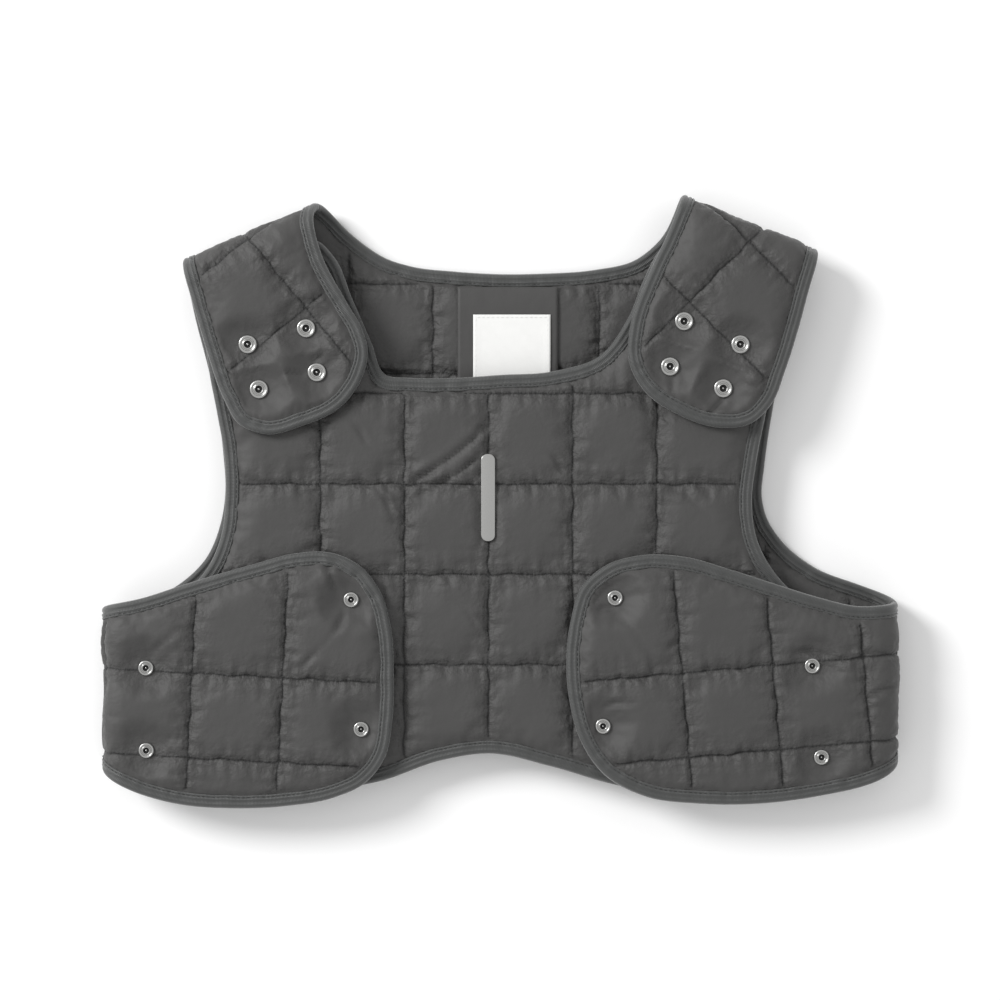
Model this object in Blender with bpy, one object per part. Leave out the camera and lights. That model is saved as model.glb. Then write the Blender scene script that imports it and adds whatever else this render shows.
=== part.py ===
"""A quilted padded vest with a bib front, laid flat with its front up.

The back panel lies lowest. The front panel lies over it, and two side wings and two shoulder
tabs come round from the back, over the front, where snap fasteners hold them. Left and right
are the viewer's, looking down at the front: +X is to the right, +Y is towards the shoulders
and +Z is out of the front. Lengths are in metres.
"""

import math

import bmesh
import bpy
import numpy as np
from mathutils import Vector
from mathutils.geometry import delaunay_2d_cdt

MM = 0.001

# Overall size, as the vest lies
VEST_WIDTH = 510 * MM
VEST_LENGTH = 393 * MM

# Padding: a quilted square is full in its middle and pinched at seams, bindings and snaps
PAD_THICKNESS = 10 * MM
PINCHED_THICKNESS = 3 * MM
QUILT_WIDTH = 54 * MM
QUILT_LENGTH = 58 * MM
EDGE_RISE = 20 * MM
FOLD_RISE = 30 * MM
PUFF_INSET = 0.2
PUFF_FULLNESS = 0.7

# Layers, one above the other, and what keeps them apart
CLEARANCE = 0.3 * MM
TORSO_GAP = 8 * MM
LAYER_GAP = 0.8 * MM

# The tape that binds each free edge
BINDING_WIDTH = 8.5 * MM
BINDING_WALL = 1.0 * MM
BINDING_NOSE = 0.8

# Snap fasteners
TAB_SNAP_DIAMETER = 12 * MM
WING_SNAP_DIAMETER = 10 * MM
SNAP_RING_HEIGHT = 1.4 * MM
SNAP_BORE = 3.4 * MM
SNAP_POST = 5.2 * MM
SNAP_BACK_INSET = 1.0 * MM
SNAP_BACK_HEIGHT = 1.2 * MM
SNAP_SIDES = 8
SNAP_HOLE_SIDES = 6
SNAP_SEAT = 7 * MM
SNAP_PINCH = 13 * MM
SNAP_PULL_SHARE = 0.6
SNAP_CHAMFER = 0.5 * MM

# Neck patch and label, sewn inside the back
PATCH_WIDTH = 65 * MM
PATCH_LENGTH = 92 * MM
PATCH_THICKNESS = 1.2 * MM
PATCH_LIFT = 0.15
LABEL_WIDTH = 50 * MM
LABEL_LENGTH = 46 * MM
LABEL_THICKNESS = 0.8 * MM

# Corners of the label and the bar, as a share of their shorter side
CORNER_SHARE = 0.2
CORNER_FACETS = 3

# Plain metal bar on the chest
BAR_WIDTH = 9 * MM
BAR_LENGTH = 56 * MM
BAR_THICKNESS = 1.6 * MM

# How closely the facets follow the curves
CURVE_STEP = 1.5 * MM
CHORD_ERROR = 0.8 * MM
LONGEST_FACET = 34 * MM
WELD_DISTANCE = 0.2 * MM
MERGE_DISTANCE = 0.01 * MM
CROWN_MARGIN = 3 * MM
SEAM_MARGIN = 2 * MM
SEAM_SAMPLES = 19
PATCH_FACETS = (4, 6)

BACK_LEVEL = PAD_THICKNESS / 2
FRONT_LEVEL = BACK_LEVEL + PAD_THICKNESS + TORSO_GAP
TOP_LEVEL = FRONT_LEVEL + PAD_THICKNESS + LAYER_GAP
FOLD_RADIUS = (TOP_LEVEL - BACK_LEVEL) / 2
FOLD_REACH = FOLD_RADIUS + PINCHED_THICKNESS / 2
SEAM_ARC = FOLD_RADIUS * math.pi / 2 - CLEARANCE / 2
SNAP_PULL = TOP_LEVEL - FRONT_LEVEL - PINCHED_THICKNESS - CLEARANCE
TOP_SNAP_LEVEL = TOP_LEVEL - SNAP_PULL * SNAP_PULL_SHARE
FRONT_SNAP_LEVEL = TOP_SNAP_LEVEL - PINCHED_THICKNESS - CLEARANCE

# Outlines in plan. Columns: across, a share of half the width; along, of half the length
FRONT_OUTLINE = (
    (-0.286, 0.410),
    (-0.230, 0.392),
    (-0.120, 0.385),
    (0.000, 0.384),
    (0.138, 0.408),
    (0.251, 0.482),
    (0.321, 0.593),
    (0.363, 0.726),
    (0.400, 0.815),
    (0.445, 0.872),
    (0.510, 0.850),
    (0.670, 0.750),
    (0.735, 0.705),
    (0.748, 0.640),
    (0.722, 0.560),
    (0.692, 0.440),
    (0.672, 0.300),
    (0.645, 0.120),
    (0.635, 0.000),
    (0.645, -0.115),
    (0.695, -0.240),
    (0.765, -0.325),
    (0.840, -0.375),
    (0.895, -0.425),
    (0.915, -0.520),
    (0.915, -0.720),
    (0.895, -0.855),
    (0.830, -0.920),
    (0.700, -0.950),
    (0.500, -0.960),
    (0.300, -0.932),
    (0.125, -0.868),
    (-0.025, -0.827),
    (-0.150, -0.850),
    (-0.300, -0.917),
    (-0.450, -0.950),
    (-0.650, -0.965),
    (-0.800, -0.965),
    (-0.905, -0.943),
    (-0.947, -0.885),
    (-0.957, -0.770),
    (-0.955, -0.600),
    (-0.940, -0.470),
    (-0.880, -0.385),
    (-0.800, -0.310),
    (-0.735, -0.215),
    (-0.704, -0.120),
    (-0.692, 0.000),
    (-0.695, 0.150),
    (-0.712, 0.280),
    (-0.735, 0.440),
    (-0.745, 0.580),
    (-0.740, 0.655),
    (-0.690, 0.715),
    (-0.520, 0.835),
    (-0.462, 0.850),
    (-0.420, 0.800),
    (-0.372, 0.660),
    (-0.325, 0.520),
)
BACK_NECK = (
    (0.459, 1.000),
    (0.403, 0.855),
    (0.345, 0.795),
    (0.240, 0.762),
    (0.113, 0.750),
    (0.000, 0.748),
    (-0.118, 0.757),
    (-0.220, 0.772),
    (-0.290, 0.800),
    (-0.365, 0.865),
    (-0.459, 0.974),
)
BACK_LEFT_ARMHOLE = (
    (-0.799, 0.785),
    (-0.775, 0.600),
    (-0.745, 0.450),
    (-0.720, 0.310),
    (-0.704, 0.150),
    (-0.699, 0.030),
    (-0.712, -0.080),
    (-0.748, -0.190),
    (-0.810, -0.270),
    (-0.890, -0.325),
    (-1.000, -0.348),
)
BACK_HEM = (
    (-1.000, -0.878),
    (-0.890, -0.925),
    (-0.720, -0.950),
    (-0.500, -0.945),
    (-0.320, -0.885),
    (-0.170, -0.820),
    (-0.020, -0.797),
    (0.130, -0.830),
    (0.300, -0.895),
    (0.480, -0.940),
    (0.680, -0.945),
    (0.860, -0.910),
    (1.000, -0.860),
)
BACK_RIGHT_ARMHOLE = (
    (1.000, -0.330),
    (0.915, -0.278),
    (0.800, -0.220),
    (0.718, -0.135),
    (0.677, -0.050),
    (0.666, 0.020),
    (0.672, 0.105),
    (0.698, 0.330),
    (0.725, 0.500),
    (0.762, 0.650),
    (0.802, 0.814),
)
LEFT_WING_EDGE = (
    (-1.000, -0.348),
    (-0.900, -0.318),
    (-0.785, -0.270),
    (-0.617, -0.206),
    (-0.507, -0.170),
    (-0.420, -0.170),
    (-0.345, -0.217),
    (-0.298, -0.300),
    (-0.272, -0.420),
    (-0.266, -0.560),
    (-0.270, -0.720),
    (-0.288, -0.835),
    (-0.335, -0.915),
    (-0.415, -0.965),
    (-0.530, -0.992),
    (-0.670, -1.000),
    (-0.790, -0.990),
    (-0.900, -0.955),
    (-1.000, -0.878),
)
RIGHT_WING_EDGE = (
    (1.000, -0.860),
    (0.930, -0.920),
    (0.800, -0.960),
    (0.650, -0.985),
    (0.500, -0.985),
    (0.360, -0.960),
    (0.260, -0.890),
    (0.205, -0.790),
    (0.175, -0.660),
    (0.166, -0.540),
    (0.177, -0.390),
    (0.205, -0.278),
    (0.265, -0.210),
    (0.350, -0.178),
    (0.460, -0.182),
    (0.580, -0.225),
    (0.700, -0.275),
    (0.800, -0.315),
    (0.890, -0.342),
    (1.000, -0.330),
)
LEFT_TAB_EDGE = (
    (-0.459, 0.974),
    (-0.466, 0.892),
    (-0.448, 0.805),
    (-0.385, 0.648),
    (-0.346, 0.560),
    (-0.331, 0.488),
    (-0.345, 0.400),
    (-0.400, 0.303),
    (-0.490, 0.245),
    (-0.590, 0.216),
    (-0.655, 0.250),
    (-0.692, 0.330),
    (-0.733, 0.480),
    (-0.765, 0.620),
    (-0.799, 0.785),
)
RIGHT_TAB_EDGE = (
    (0.802, 0.814),
    (0.775, 0.690),
    (0.748, 0.560),
    (0.715, 0.425),
    (0.678, 0.310),
    (0.628, 0.250),
    (0.550, 0.237),
    (0.445, 0.280),
    (0.362, 0.355),
    (0.323, 0.450),
    (0.325, 0.560),
    (0.370, 0.730),
    (0.422, 0.875),
    (0.459, 1.000),
)

# Snaps. Columns: across and along, as above
WING_SNAPS = {
    "left_wing": ((-0.373, -0.322), (-0.348, -0.743), (-0.887, -0.544), (-0.886, -0.812)),
    "right_wing": ((0.288, -0.316), (0.258, -0.733), (0.782, -0.537), (0.805, -0.834)),
}
TAB_SNAPS = {
    "left_tab": ((-0.486, 0.560), (-0.459, 0.417), (-0.632, 0.508), (-0.604, 0.362)),
    "right_tab": ((0.461, 0.583), (0.426, 0.436), (0.602, 0.508), (0.559, 0.365)),
}

# Where the seam grid of each panel crosses. Columns: across, along, turn in degrees
FRONT_QUILT = (-0.030, 0.055, 0)
BACK_QUILT = (0.040, 0.420, 0)
LEFT_WING_QUILT = (-0.772, -0.560, 87)
RIGHT_WING_QUILT = (0.455, -0.560, 95)
LEFT_TAB_QUILT = (-0.487, 0.627, 39.5)
RIGHT_TAB_QUILT = (0.473, 0.647, 45)

# Middles of the small pieces. Columns: across, along
PATCH_MIDDLE = (0.020, 0.470)
LABEL_MIDDLE = (0.030, 0.495)
BAR_MIDDLE = (-0.030, 0.010)

# Finishes. Columns: red, green, blue, roughness, metallic
FABRIC = (0.095, 0.095, 0.092, 0.60, 0.0)
TAPE = (0.085, 0.092, 0.090, 0.65, 0.0)
LABEL_CLOTH = (0.86, 0.86, 0.84, 0.70, 0.0)
METAL = (0.62, 0.62, 0.61, 0.32, 1.0)


def in_plan(across, along):
    return np.array([across * VEST_WIDTH / 2, along * VEST_LENGTH / 2])


def eased(share):
    """0 to 1, with no kink at either end."""
    share = np.clip(share, 0, 1)
    return share * share * (3 - 2 * share)


def puffed(share):
    """How full the padding is at this share of the way from a pinched line to the middle."""
    return np.sin(np.clip(share, 0, 1) * math.pi / 2) ** PUFF_FULLNESS


class Fold:
    """A straight edge of the vest, where a layer turns over. The seam runs along its side."""

    def __init__(self, first, last):
        self.first, self.last = in_plan(*first), in_plan(*last)
        self.along = (self.last - self.first) / np.linalg.norm(self.last - self.first)
        self.outward = np.array([self.along[1], -self.along[0]])
        if np.dot(self.outward, self.first) < 0:
            self.outward = -self.outward

    def past(self, point):
        """How far a pattern point lies past the line where the layer starts to turn."""
        return float(np.dot(point - self.first, self.outward)) + FOLD_REACH

    def seam_point(self, point):
        """The pattern point on the seam for an outline point on the folded edge."""
        return point + self.outward * (SEAM_ARC - self.past(point))


SIDE_FOLDS = (Fold(BACK_LEFT_ARMHOLE[-1], BACK_HEM[0]), Fold(BACK_HEM[-1], BACK_RIGHT_ARMHOLE[0]))
SHOULDER_FOLDS = (Fold(BACK_NECK[-1], BACK_LEFT_ARMHOLE[0]), Fold(BACK_RIGHT_ARMHOLE[-1], BACK_NECK[0]))


class Layer:
    """Carries a panel's flat pattern to its place: its height and the folds it turns at."""

    def __init__(self, level, folds=(), rises=True):
        self.level, self.folds, self.rises = level, folds, rises

    def place(self, point, height):
        """The 3-D point at a height above the middle of the cloth."""
        turn = 1 if self.rises else -1
        for fold in self.folds:
            past = fold.past(point)
            if past > 0:
                reach = FOLD_RADIUS + turn * height
                angle = past / FOLD_RADIUS
                flat = point + fold.outward * (reach * math.sin(angle) - past)
                centre = self.level - turn * FOLD_RADIUS
                return Vector((flat[0], flat[1], centre + turn * reach * math.cos(angle)))
        return Vector((point[0], point[1], self.level + height))


class Edge:
    """A free edge of a panel: points along it, each with the direction into the cloth."""

    def __init__(self, table, layer, closed=False):
        points = [in_plan(*row) for row in table]
        self.closed = closed
        ends = None
        if not closed:
            ends = [self.fold_at(points[0], layer), self.fold_at(points[-1], layer)]
            points[0] = ends[0].seam_point(points[0])
            points[-1] = ends[1].seam_point(points[-1])
        curve = smooth_curve(points, closed)
        inward = inward_directions(curve, closed)
        if not closed:
            for place, fold in zip((0, -1), ends):
                side = np.dot(inward[place], fold.along)
                inward[place] = fold.along * math.copysign(1, side)
        kept = kept_samples([layer.place(p, 0) for p in curve], closed)
        self.points = [curve[i] for i in kept]
        self.inward = [inward[i] for i in kept]

    @staticmethod
    def fold_at(point, layer):
        return min(
            layer.folds,
            key=lambda f: abs(f.past(point) - FOLD_REACH) + distance(point, [(f.first, f.last)]),
        )

    def inset(self, depth):
        return [p + n * depth for p, n in zip(self.points, self.inward)]

    def segments(self, depth=0.0):
        line = self.inset(depth)
        pairs = list(zip(line[:-1], line[1:]))
        return pairs + [(line[-1], line[0])] if self.closed else pairs


def smooth_curve(points, closed):
    """Evenly spaced points along a smooth curve through the given ones."""
    count = len(points)
    spans = count if closed else count - 1
    lengths = [np.linalg.norm(points[(i + 1) % count] - points[i]) for i in range(spans)]
    slopes = []
    for i in range(count):
        if closed or 0 < i < count - 1:
            before, after = lengths[i - 1], lengths[i % spans]
            back = (points[i] - points[i - 1]) / before
            ahead = (points[(i + 1) % count] - points[i]) / after
            slopes.append((ahead * before + back * after) / (before + after))
        else:
            near = min(i, count - 2)
            slopes.append((points[near + 1] - points[near]) / lengths[near])
    curve = []
    for i in range(spans):
        start, end = points[i], points[(i + 1) % count]
        steps = max(2, round(lengths[i] / CURVE_STEP))
        for t in np.arange(steps) / steps:
            curve.append(
                (2 * t**3 - 3 * t**2 + 1) * start
                + (t**3 - 2 * t**2 + t) * lengths[i] * slopes[i]
                + (3 * t**2 - 2 * t**3) * end
                + (t**3 - t**2) * lengths[i] * slopes[(i + 1) % count]
            )
    return curve if closed else curve + [points[-1]]


def inward_directions(curve, closed):
    """The unit direction into the cloth at each point. The edges run clockwise round it."""
    count = len(curve)
    found = []
    for i in range(count):
        ahead = curve[(i + 1) % count] if closed else curve[min(i + 1, count - 1)]
        back = curve[i - 1] if closed or i else curve[0]
        along = (ahead - back) / np.linalg.norm(ahead - back)
        found.append(np.array([along[1], -along[0]]))
    return found


def kept_samples(places, closed):
    """The fewest points of a curve in space that keep to it within the chord error."""
    places = np.array([list(p) for p in places])
    last = len(places) - 1
    kept = [0]
    while kept[-1] < last:
        start = kept[-1]
        best = start + 1
        for end in range(start + 2, last + 1):
            chord = places[end] - places[start]
            length = np.linalg.norm(chord)
            inner = places[start + 1 : end] - places[start]
            off = np.linalg.norm(np.cross(inner, chord / length), axis=1).max()
            if off > CHORD_ERROR or length > LONGEST_FACET:
                break
            best = end
        kept.append(best)
    return kept[:-1] if closed and len(kept) > 3 else kept


def distance(point, segments):
    """The distance in plan from a point to the nearest of some segments."""
    starts = np.array([s[0] for s in segments])
    spans = np.array([s[1] for s in segments]) - starts
    lengths = (spans**2).sum(1)
    shares = np.clip(((point - starts) * spans).sum(1) / np.maximum(lengths, 1e-12), 0, 1)
    return float(np.sqrt((((starts + spans * shares[:, None]) - point) ** 2).sum(1)).min())


def inside(point, polygon):
    """Whether a point lies in a closed outline."""
    x, y = point
    starts, ends = np.array(polygon), np.roll(np.array(polygon), -1, axis=0)
    crosses = (starts[:, 1] > y) != (ends[:, 1] > y)
    starts, ends = starts[crosses], ends[crosses]
    where = starts[:, 0] + (y - starts[:, 1]) * (ends[:, 0] - starts[:, 0]) / (ends[:, 1] - starts[:, 1])
    return bool((where > x).sum() % 2)


class Panel:
    """A quilted panel: its bound edges, the seams where it turns over, and its quilt grid."""

    def __init__(self, name, layer, tables, quilt, snaps=(), snap_level=0.0):
        self.name, self.layer = name, layer
        self.snaps, self.pull = snaps, snap_level - layer.level
        closed = len(tables) == 1 and not layer.folds
        self.edges = [Edge(table, layer, closed) for table in tables]
        self.outline = []
        self.turned = []
        tuck = BINDING_WALL + CLEARANCE
        self.lip = BINDING_WIDTH + CLEARANCE
        for edge, after in zip(self.edges, self.edges[1:] + self.edges[:1]):
            self.outline += edge.inset(tuck)
            if not closed:
                seam = (edge.inset(self.lip)[-1], after.inset(self.lip)[0])
                self.outline += seam
                self.turned.append((edge.points[-1], after.points[0]))
        self.free = [pair for edge in self.edges for pair in edge.segments()]
        across, along, turn = quilt
        self.origin = in_plan(across, along)
        self.axes = [
            np.array([math.cos(math.radians(a)), math.sin(math.radians(a))])
            for a in (turn, turn + 90)
        ]

    def free_share(self, point):
        """0 at a snap, rising to 1 where the cloth is clear of them all."""
        near = [np.linalg.norm(point - snap) - SNAP_SEAT for snap in self.snaps]
        return float(eased(min(near) / SNAP_PINCH)) if near else 1.0

    def pulled(self, point):
        """How far the snaps pull the middle of the cloth up or down. Bindings stay level."""
        if not self.snaps or distance(point, self.free) < self.lip + CLEARANCE:
            return 0.0
        return self.pull * (1 - self.free_share(point))

    def thickness(self, point):
        """The padding's thickness at a pattern point."""
        offset = point - self.origin
        full = 1.0
        for axis, pitch in zip(self.axes, (QUILT_WIDTH, QUILT_LENGTH)):
            share = (np.dot(offset, axis) / pitch) % 1
            full *= float(puffed(min(share, 1 - share) * 2))
        full *= float(puffed((distance(point, self.free) - self.lip) / EDGE_RISE))
        if self.turned:
            full *= float(puffed(distance(point, self.turned) / FOLD_RISE))
        full *= self.free_share(point)
        return PINCHED_THICKNESS + (PAD_THICKNESS - PINCHED_THICKNESS) * full

    def grid_point(self, across, along):
        return self.origin + self.axes[0] * across * QUILT_WIDTH + self.axes[1] * along * QUILT_LENGTH

    def clear(self, point, margin):
        """Whether a point is in the cloth, this far from its edges, seams and snaps."""
        if not inside(point, self.outline) or distance(point, self.free) < self.lip + margin:
            return False
        if self.turned and distance(point, self.turned) < margin:
            return False
        return all(np.linalg.norm(point - s) > SNAP_SEAT + margin for s in self.snaps)

    def quilt_points(self):
        """Seam points with the seams between them, and the points that crown each square."""
        offsets = np.array(self.outline) - self.origin
        spans = []
        for axis, pitch in zip(self.axes, (QUILT_WIDTH, QUILT_LENGTH)):
            halves = offsets @ axis / (pitch / 2)
            spans.append(range(math.floor(halves.min()), math.ceil(halves.max()) + 1))
        crowns = []
        seams = []
        for i in spans[0]:
            for j in spans[1]:
                here = self.grid_point(i / 2, j / 2)
                if i % 2 and j % 2:
                    shift = 0.5 - PUFF_INSET
                    corners = [(i / 2 + a * shift, j / 2 + b * shift) for a in (-1, 1) for b in (-1, 1)]
                    crowns += [here] + [self.grid_point(*corner) for corner in corners]
                    continue
                for ahead in ((i + 1) / 2, j / 2), (i / 2, (j + 1) / 2):
                    if (i % 2 == 0 and ahead[0] == i / 2) or (j % 2 == 0 and ahead[1] == j / 2):
                        seams.append((here, self.grid_point(*ahead)))
        crowns = [p for p in crowns if self.clear(p, CROWN_MARGIN)]
        return crowns, [piece for seam in seams for piece in self.kept_run(*seam)]

    def kept_run(self, start, end):
        """The stretch of a seam that is in the cloth and clear of its snaps, if any is."""
        shares = np.linspace(0, 1, SEAM_SAMPLES)
        good = [i for i, s in enumerate(shares) if self.clear(start + (end - start) * s, SEAM_MARGIN)]
        if len(good) < 3 or good[-1] - good[0] + 1 != len(good):
            return []
        return [(start + (end - start) * shares[good[0]], start + (end - start) * shares[good[-1]])]

    def build(self, finish):
        """The padded solid: one sheet of facets in plan, raised to its two faces."""
        points, constraints = [], []

        def add_line(line, closed):
            first = len(points)
            points.extend(line)
            constraints.extend((first + i, first + i + 1) for i in range(len(line) - 1))
            if closed:
                constraints.append((first + len(line) - 1, first))
            return first

        add_line(self.outline, True)
        start = 0
        for edge in self.edges:
            count = len(edge.points)
            first = add_line(edge.inset(self.lip), edge.closed)
            spans = count if edge.closed else count - 1
            constraints += [(start + i, first + (i + 1) % count) for i in range(spans)]
            start += count if edge.closed else count + 2
        holes = []
        for snap in self.snaps:
            reach = (SNAP_POST / 2 + CLEARANCE) / math.cos(math.pi / SNAP_HOLE_SIDES)
            hole = ring(snap, reach, SNAP_HOLE_SIDES)
            holes.append(hole)
            add_line(hole, True)
            add_line(ring(snap, SNAP_SEAT, SNAP_HOLE_SIDES), True)
        crowns, seams = self.quilt_points()
        points += crowns
        for seam in seams:
            add_line(seam, False)
        flat = [Vector(p) for p in points]
        verts, _, faces, *_ = delaunay_2d_cdt(flat, constraints, [], 0, WELD_DISTANCE)
        plan = [np.array(v) for v in verts]
        kept = []
        for face in faces:
            middle = sum(plan[i] for i in face) / len(face)
            if inside(middle, self.outline) and not any(inside(middle, hole) for hole in holes):
                kept.append(face)
        return padded_solid(self, plan, kept, finish)


def ring(centre, radius, sides):
    turns = [2 * math.pi * i / sides for i in range(sides)]
    return [centre + radius * np.array([math.cos(t), math.sin(t)]) for t in turns]


def padded_solid(panel, plan, faces, finish):
    bm = bmesh.new()
    used = sorted({i for face in faces for i in face})
    top, bottom = {}, {}
    for i in used:
        middle, half = panel.pulled(plan[i]), panel.thickness(plan[i]) / 2
        top[i] = bm.verts.new(panel.layer.place(plan[i], middle + half))
        bottom[i] = bm.verts.new(panel.layer.place(plan[i], middle - half))
    rim = {}
    for face in faces:
        bm.faces.new([top[i] for i in face])
        bm.faces.new([bottom[i] for i in reversed(face)])
        for a, b in zip(face, face[1:] + face[:1]):
            rim[(a, b)] = rim.get((a, b), 0) + 1
    for a, b in rim:
        if (b, a) not in rim:
            bm.faces.new([top[b], top[a], bottom[a], bottom[b]])
    return finished(panel.name, bm, finish)


def binding(name, panel, edge, finish):
    """The tape folded over one free edge of a panel, open along its channel."""
    channel = PINCHED_THICKNESS / 2 + CLEARANCE
    outer = channel + BINDING_WALL
    nose = outer * BINDING_NOSE
    section = (
        (BINDING_WIDTH, -outer),
        (0.0, -nose),
        (0.0, nose),
        (BINDING_WIDTH, outer),
        (BINDING_WIDTH, channel),
        (BINDING_WALL, channel),
        (BINDING_WALL, -channel),
        (BINDING_WIDTH, -channel),
    )
    bm = bmesh.new()
    rows = []
    for point, inward in zip(edge.points, edge.inward):
        rows.append([bm.verts.new(panel.layer.place(point + inward * d, h)) for d, h in section])
    pairs = list(zip(rows[:-1], rows[1:]))
    if edge.closed:
        pairs.append((rows[-1], rows[0]))
    else:
        bm.faces.new(rows[0])
        bm.faces.new(reversed(rows[-1]))
    for here, there in pairs:
        for i in range(len(section)):
            j = (i + 1) % len(section)
            if section[i][0] <= section[j][0]:
                bm.faces.new([here[i], there[i], there[j]])
                bm.faces.new([here[i], there[j], here[j]])
            else:
                bm.faces.new([here[i], there[i], here[j]])
                bm.faces.new([there[i], there[j], here[j]])
    return finished(name, bm, finish)


def snap_fastener(name, centre, diameter, finish):
    """A closed snap: its ring, its post through both layers and its back flange."""
    cloth = PINCHED_THICKNESS / 2 + CLEARANCE
    seat = TOP_SNAP_LEVEL + cloth
    top = seat + SNAP_RING_HEIGHT
    under = FRONT_SNAP_LEVEL - cloth
    profile = (
        (0.0, seat),
        (SNAP_BORE / 2, top),
        (diameter / 2 - SNAP_CHAMFER, top),
        (diameter / 2, seat),
        (SNAP_POST / 2, seat),
        (SNAP_POST / 2, under),
        (diameter / 2 - SNAP_BACK_INSET, under),
        (0.0, under - SNAP_BACK_HEIGHT),
    )
    bm = bmesh.new()
    verts = [bm.verts.new((radius, 0, height)) for radius, height in profile]
    edges = [bm.edges.new(pair) for pair in zip(verts[:-1], verts[1:])]
    bmesh.ops.spin(
        bm,
        geom=verts + edges,
        cent=(0, 0, 0),
        axis=(0, 0, 1),
        angle=2 * math.pi,
        steps=SNAP_SIDES,
        use_merge=True,
    )
    bmesh.ops.remove_doubles(bm, verts=bm.verts, dist=MERGE_DISTANCE)
    made = finished(name, bm, finish)
    made.location = (centre[0], centre[1], 0)
    return made


def envelope_height(panel, point):
    """The height of the unquilted top face, which clears every puff of the panel."""
    share = (distance(point, panel.free) - panel.lip) / EDGE_RISE + PATCH_LIFT
    full = float(puffed(share))
    return (PINCHED_THICKNESS + (PAD_THICKNESS - PINCHED_THICKNESS) * full) / 2


def neck_patch(panel, finish):
    """The plain facing sewn inside the back of the neck. Its top edge meets the binding."""
    bm = bmesh.new()
    bmesh.ops.create_grid(bm, x_segments=PATCH_FACETS[0], y_segments=PATCH_FACETS[1], size=0.5)
    middle = in_plan(*PATCH_MIDDLE)
    for vert in bm.verts:
        vert.co.x = middle[0] + vert.co.x * PATCH_WIDTH
        vert.co.y = middle[1] + vert.co.y * PATCH_LENGTH
    faces = list(bm.faces)
    raised = bmesh.ops.extrude_face_region(bm, geom=faces, use_keep_orig=True)
    raised = {v for v in raised["geom"] if isinstance(v, bmesh.types.BMVert)}
    for vert in bm.verts:
        height = envelope_height(panel, np.array(vert.co.xy)) + CLEARANCE
        vert.co.z = panel.layer.level + height + (PATCH_THICKNESS if vert in raised else 0)
    return finished("neck_patch", bm, finish)


def plain_plate(name, middle, width, length, base, thickness, finish):
    """A flat plate with its long corners eased."""
    bm = bmesh.new()
    bmesh.ops.create_cube(bm, size=1)
    for vert in bm.verts:
        vert.co.x *= width
        vert.co.y *= length
        vert.co.z = base + (vert.co.z + 0.5) * thickness
    upright = [e for e in bm.edges if abs(e.verts[0].co.z - e.verts[1].co.z) > thickness / 2]
    bmesh.ops.bevel(
        bm,
        geom=upright,
        offset=min(width, length) * CORNER_SHARE,
        segments=CORNER_FACETS,
        profile=0.5,
        affect="EDGES",
        material=-1,
    )
    made = finished(name, bm, finish)
    made.location = (middle[0], middle[1], 0)
    return made


def finished(name, bm, finish):
    """Makes the object of a piece, with its faces out and its own material."""
    bmesh.ops.recalc_face_normals(bm, faces=bm.faces)
    mesh = bpy.data.meshes.new(name)
    bm.to_mesh(mesh)
    bm.free()
    made = bpy.data.objects.new(name, mesh)
    bpy.context.scene.collection.objects.link(made)
    material = bpy.data.materials.new(name)
    material.use_nodes = True
    shader = material.node_tree.nodes["Principled BSDF"]
    red, green, blue, roughness, metallic = finish
    shader.inputs["Base Color"].default_value = (red, green, blue, 1)
    shader.inputs["Roughness"].default_value = roughness
    shader.inputs["Metallic"].default_value = metallic
    mesh.materials.append(material)
    mesh.shade_smooth()
    mesh.set_sharp_from_angle(angle=math.radians(40))
    return made


def clear_scene():
    for found in list(bpy.data.objects):
        bpy.data.objects.remove(found)


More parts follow.
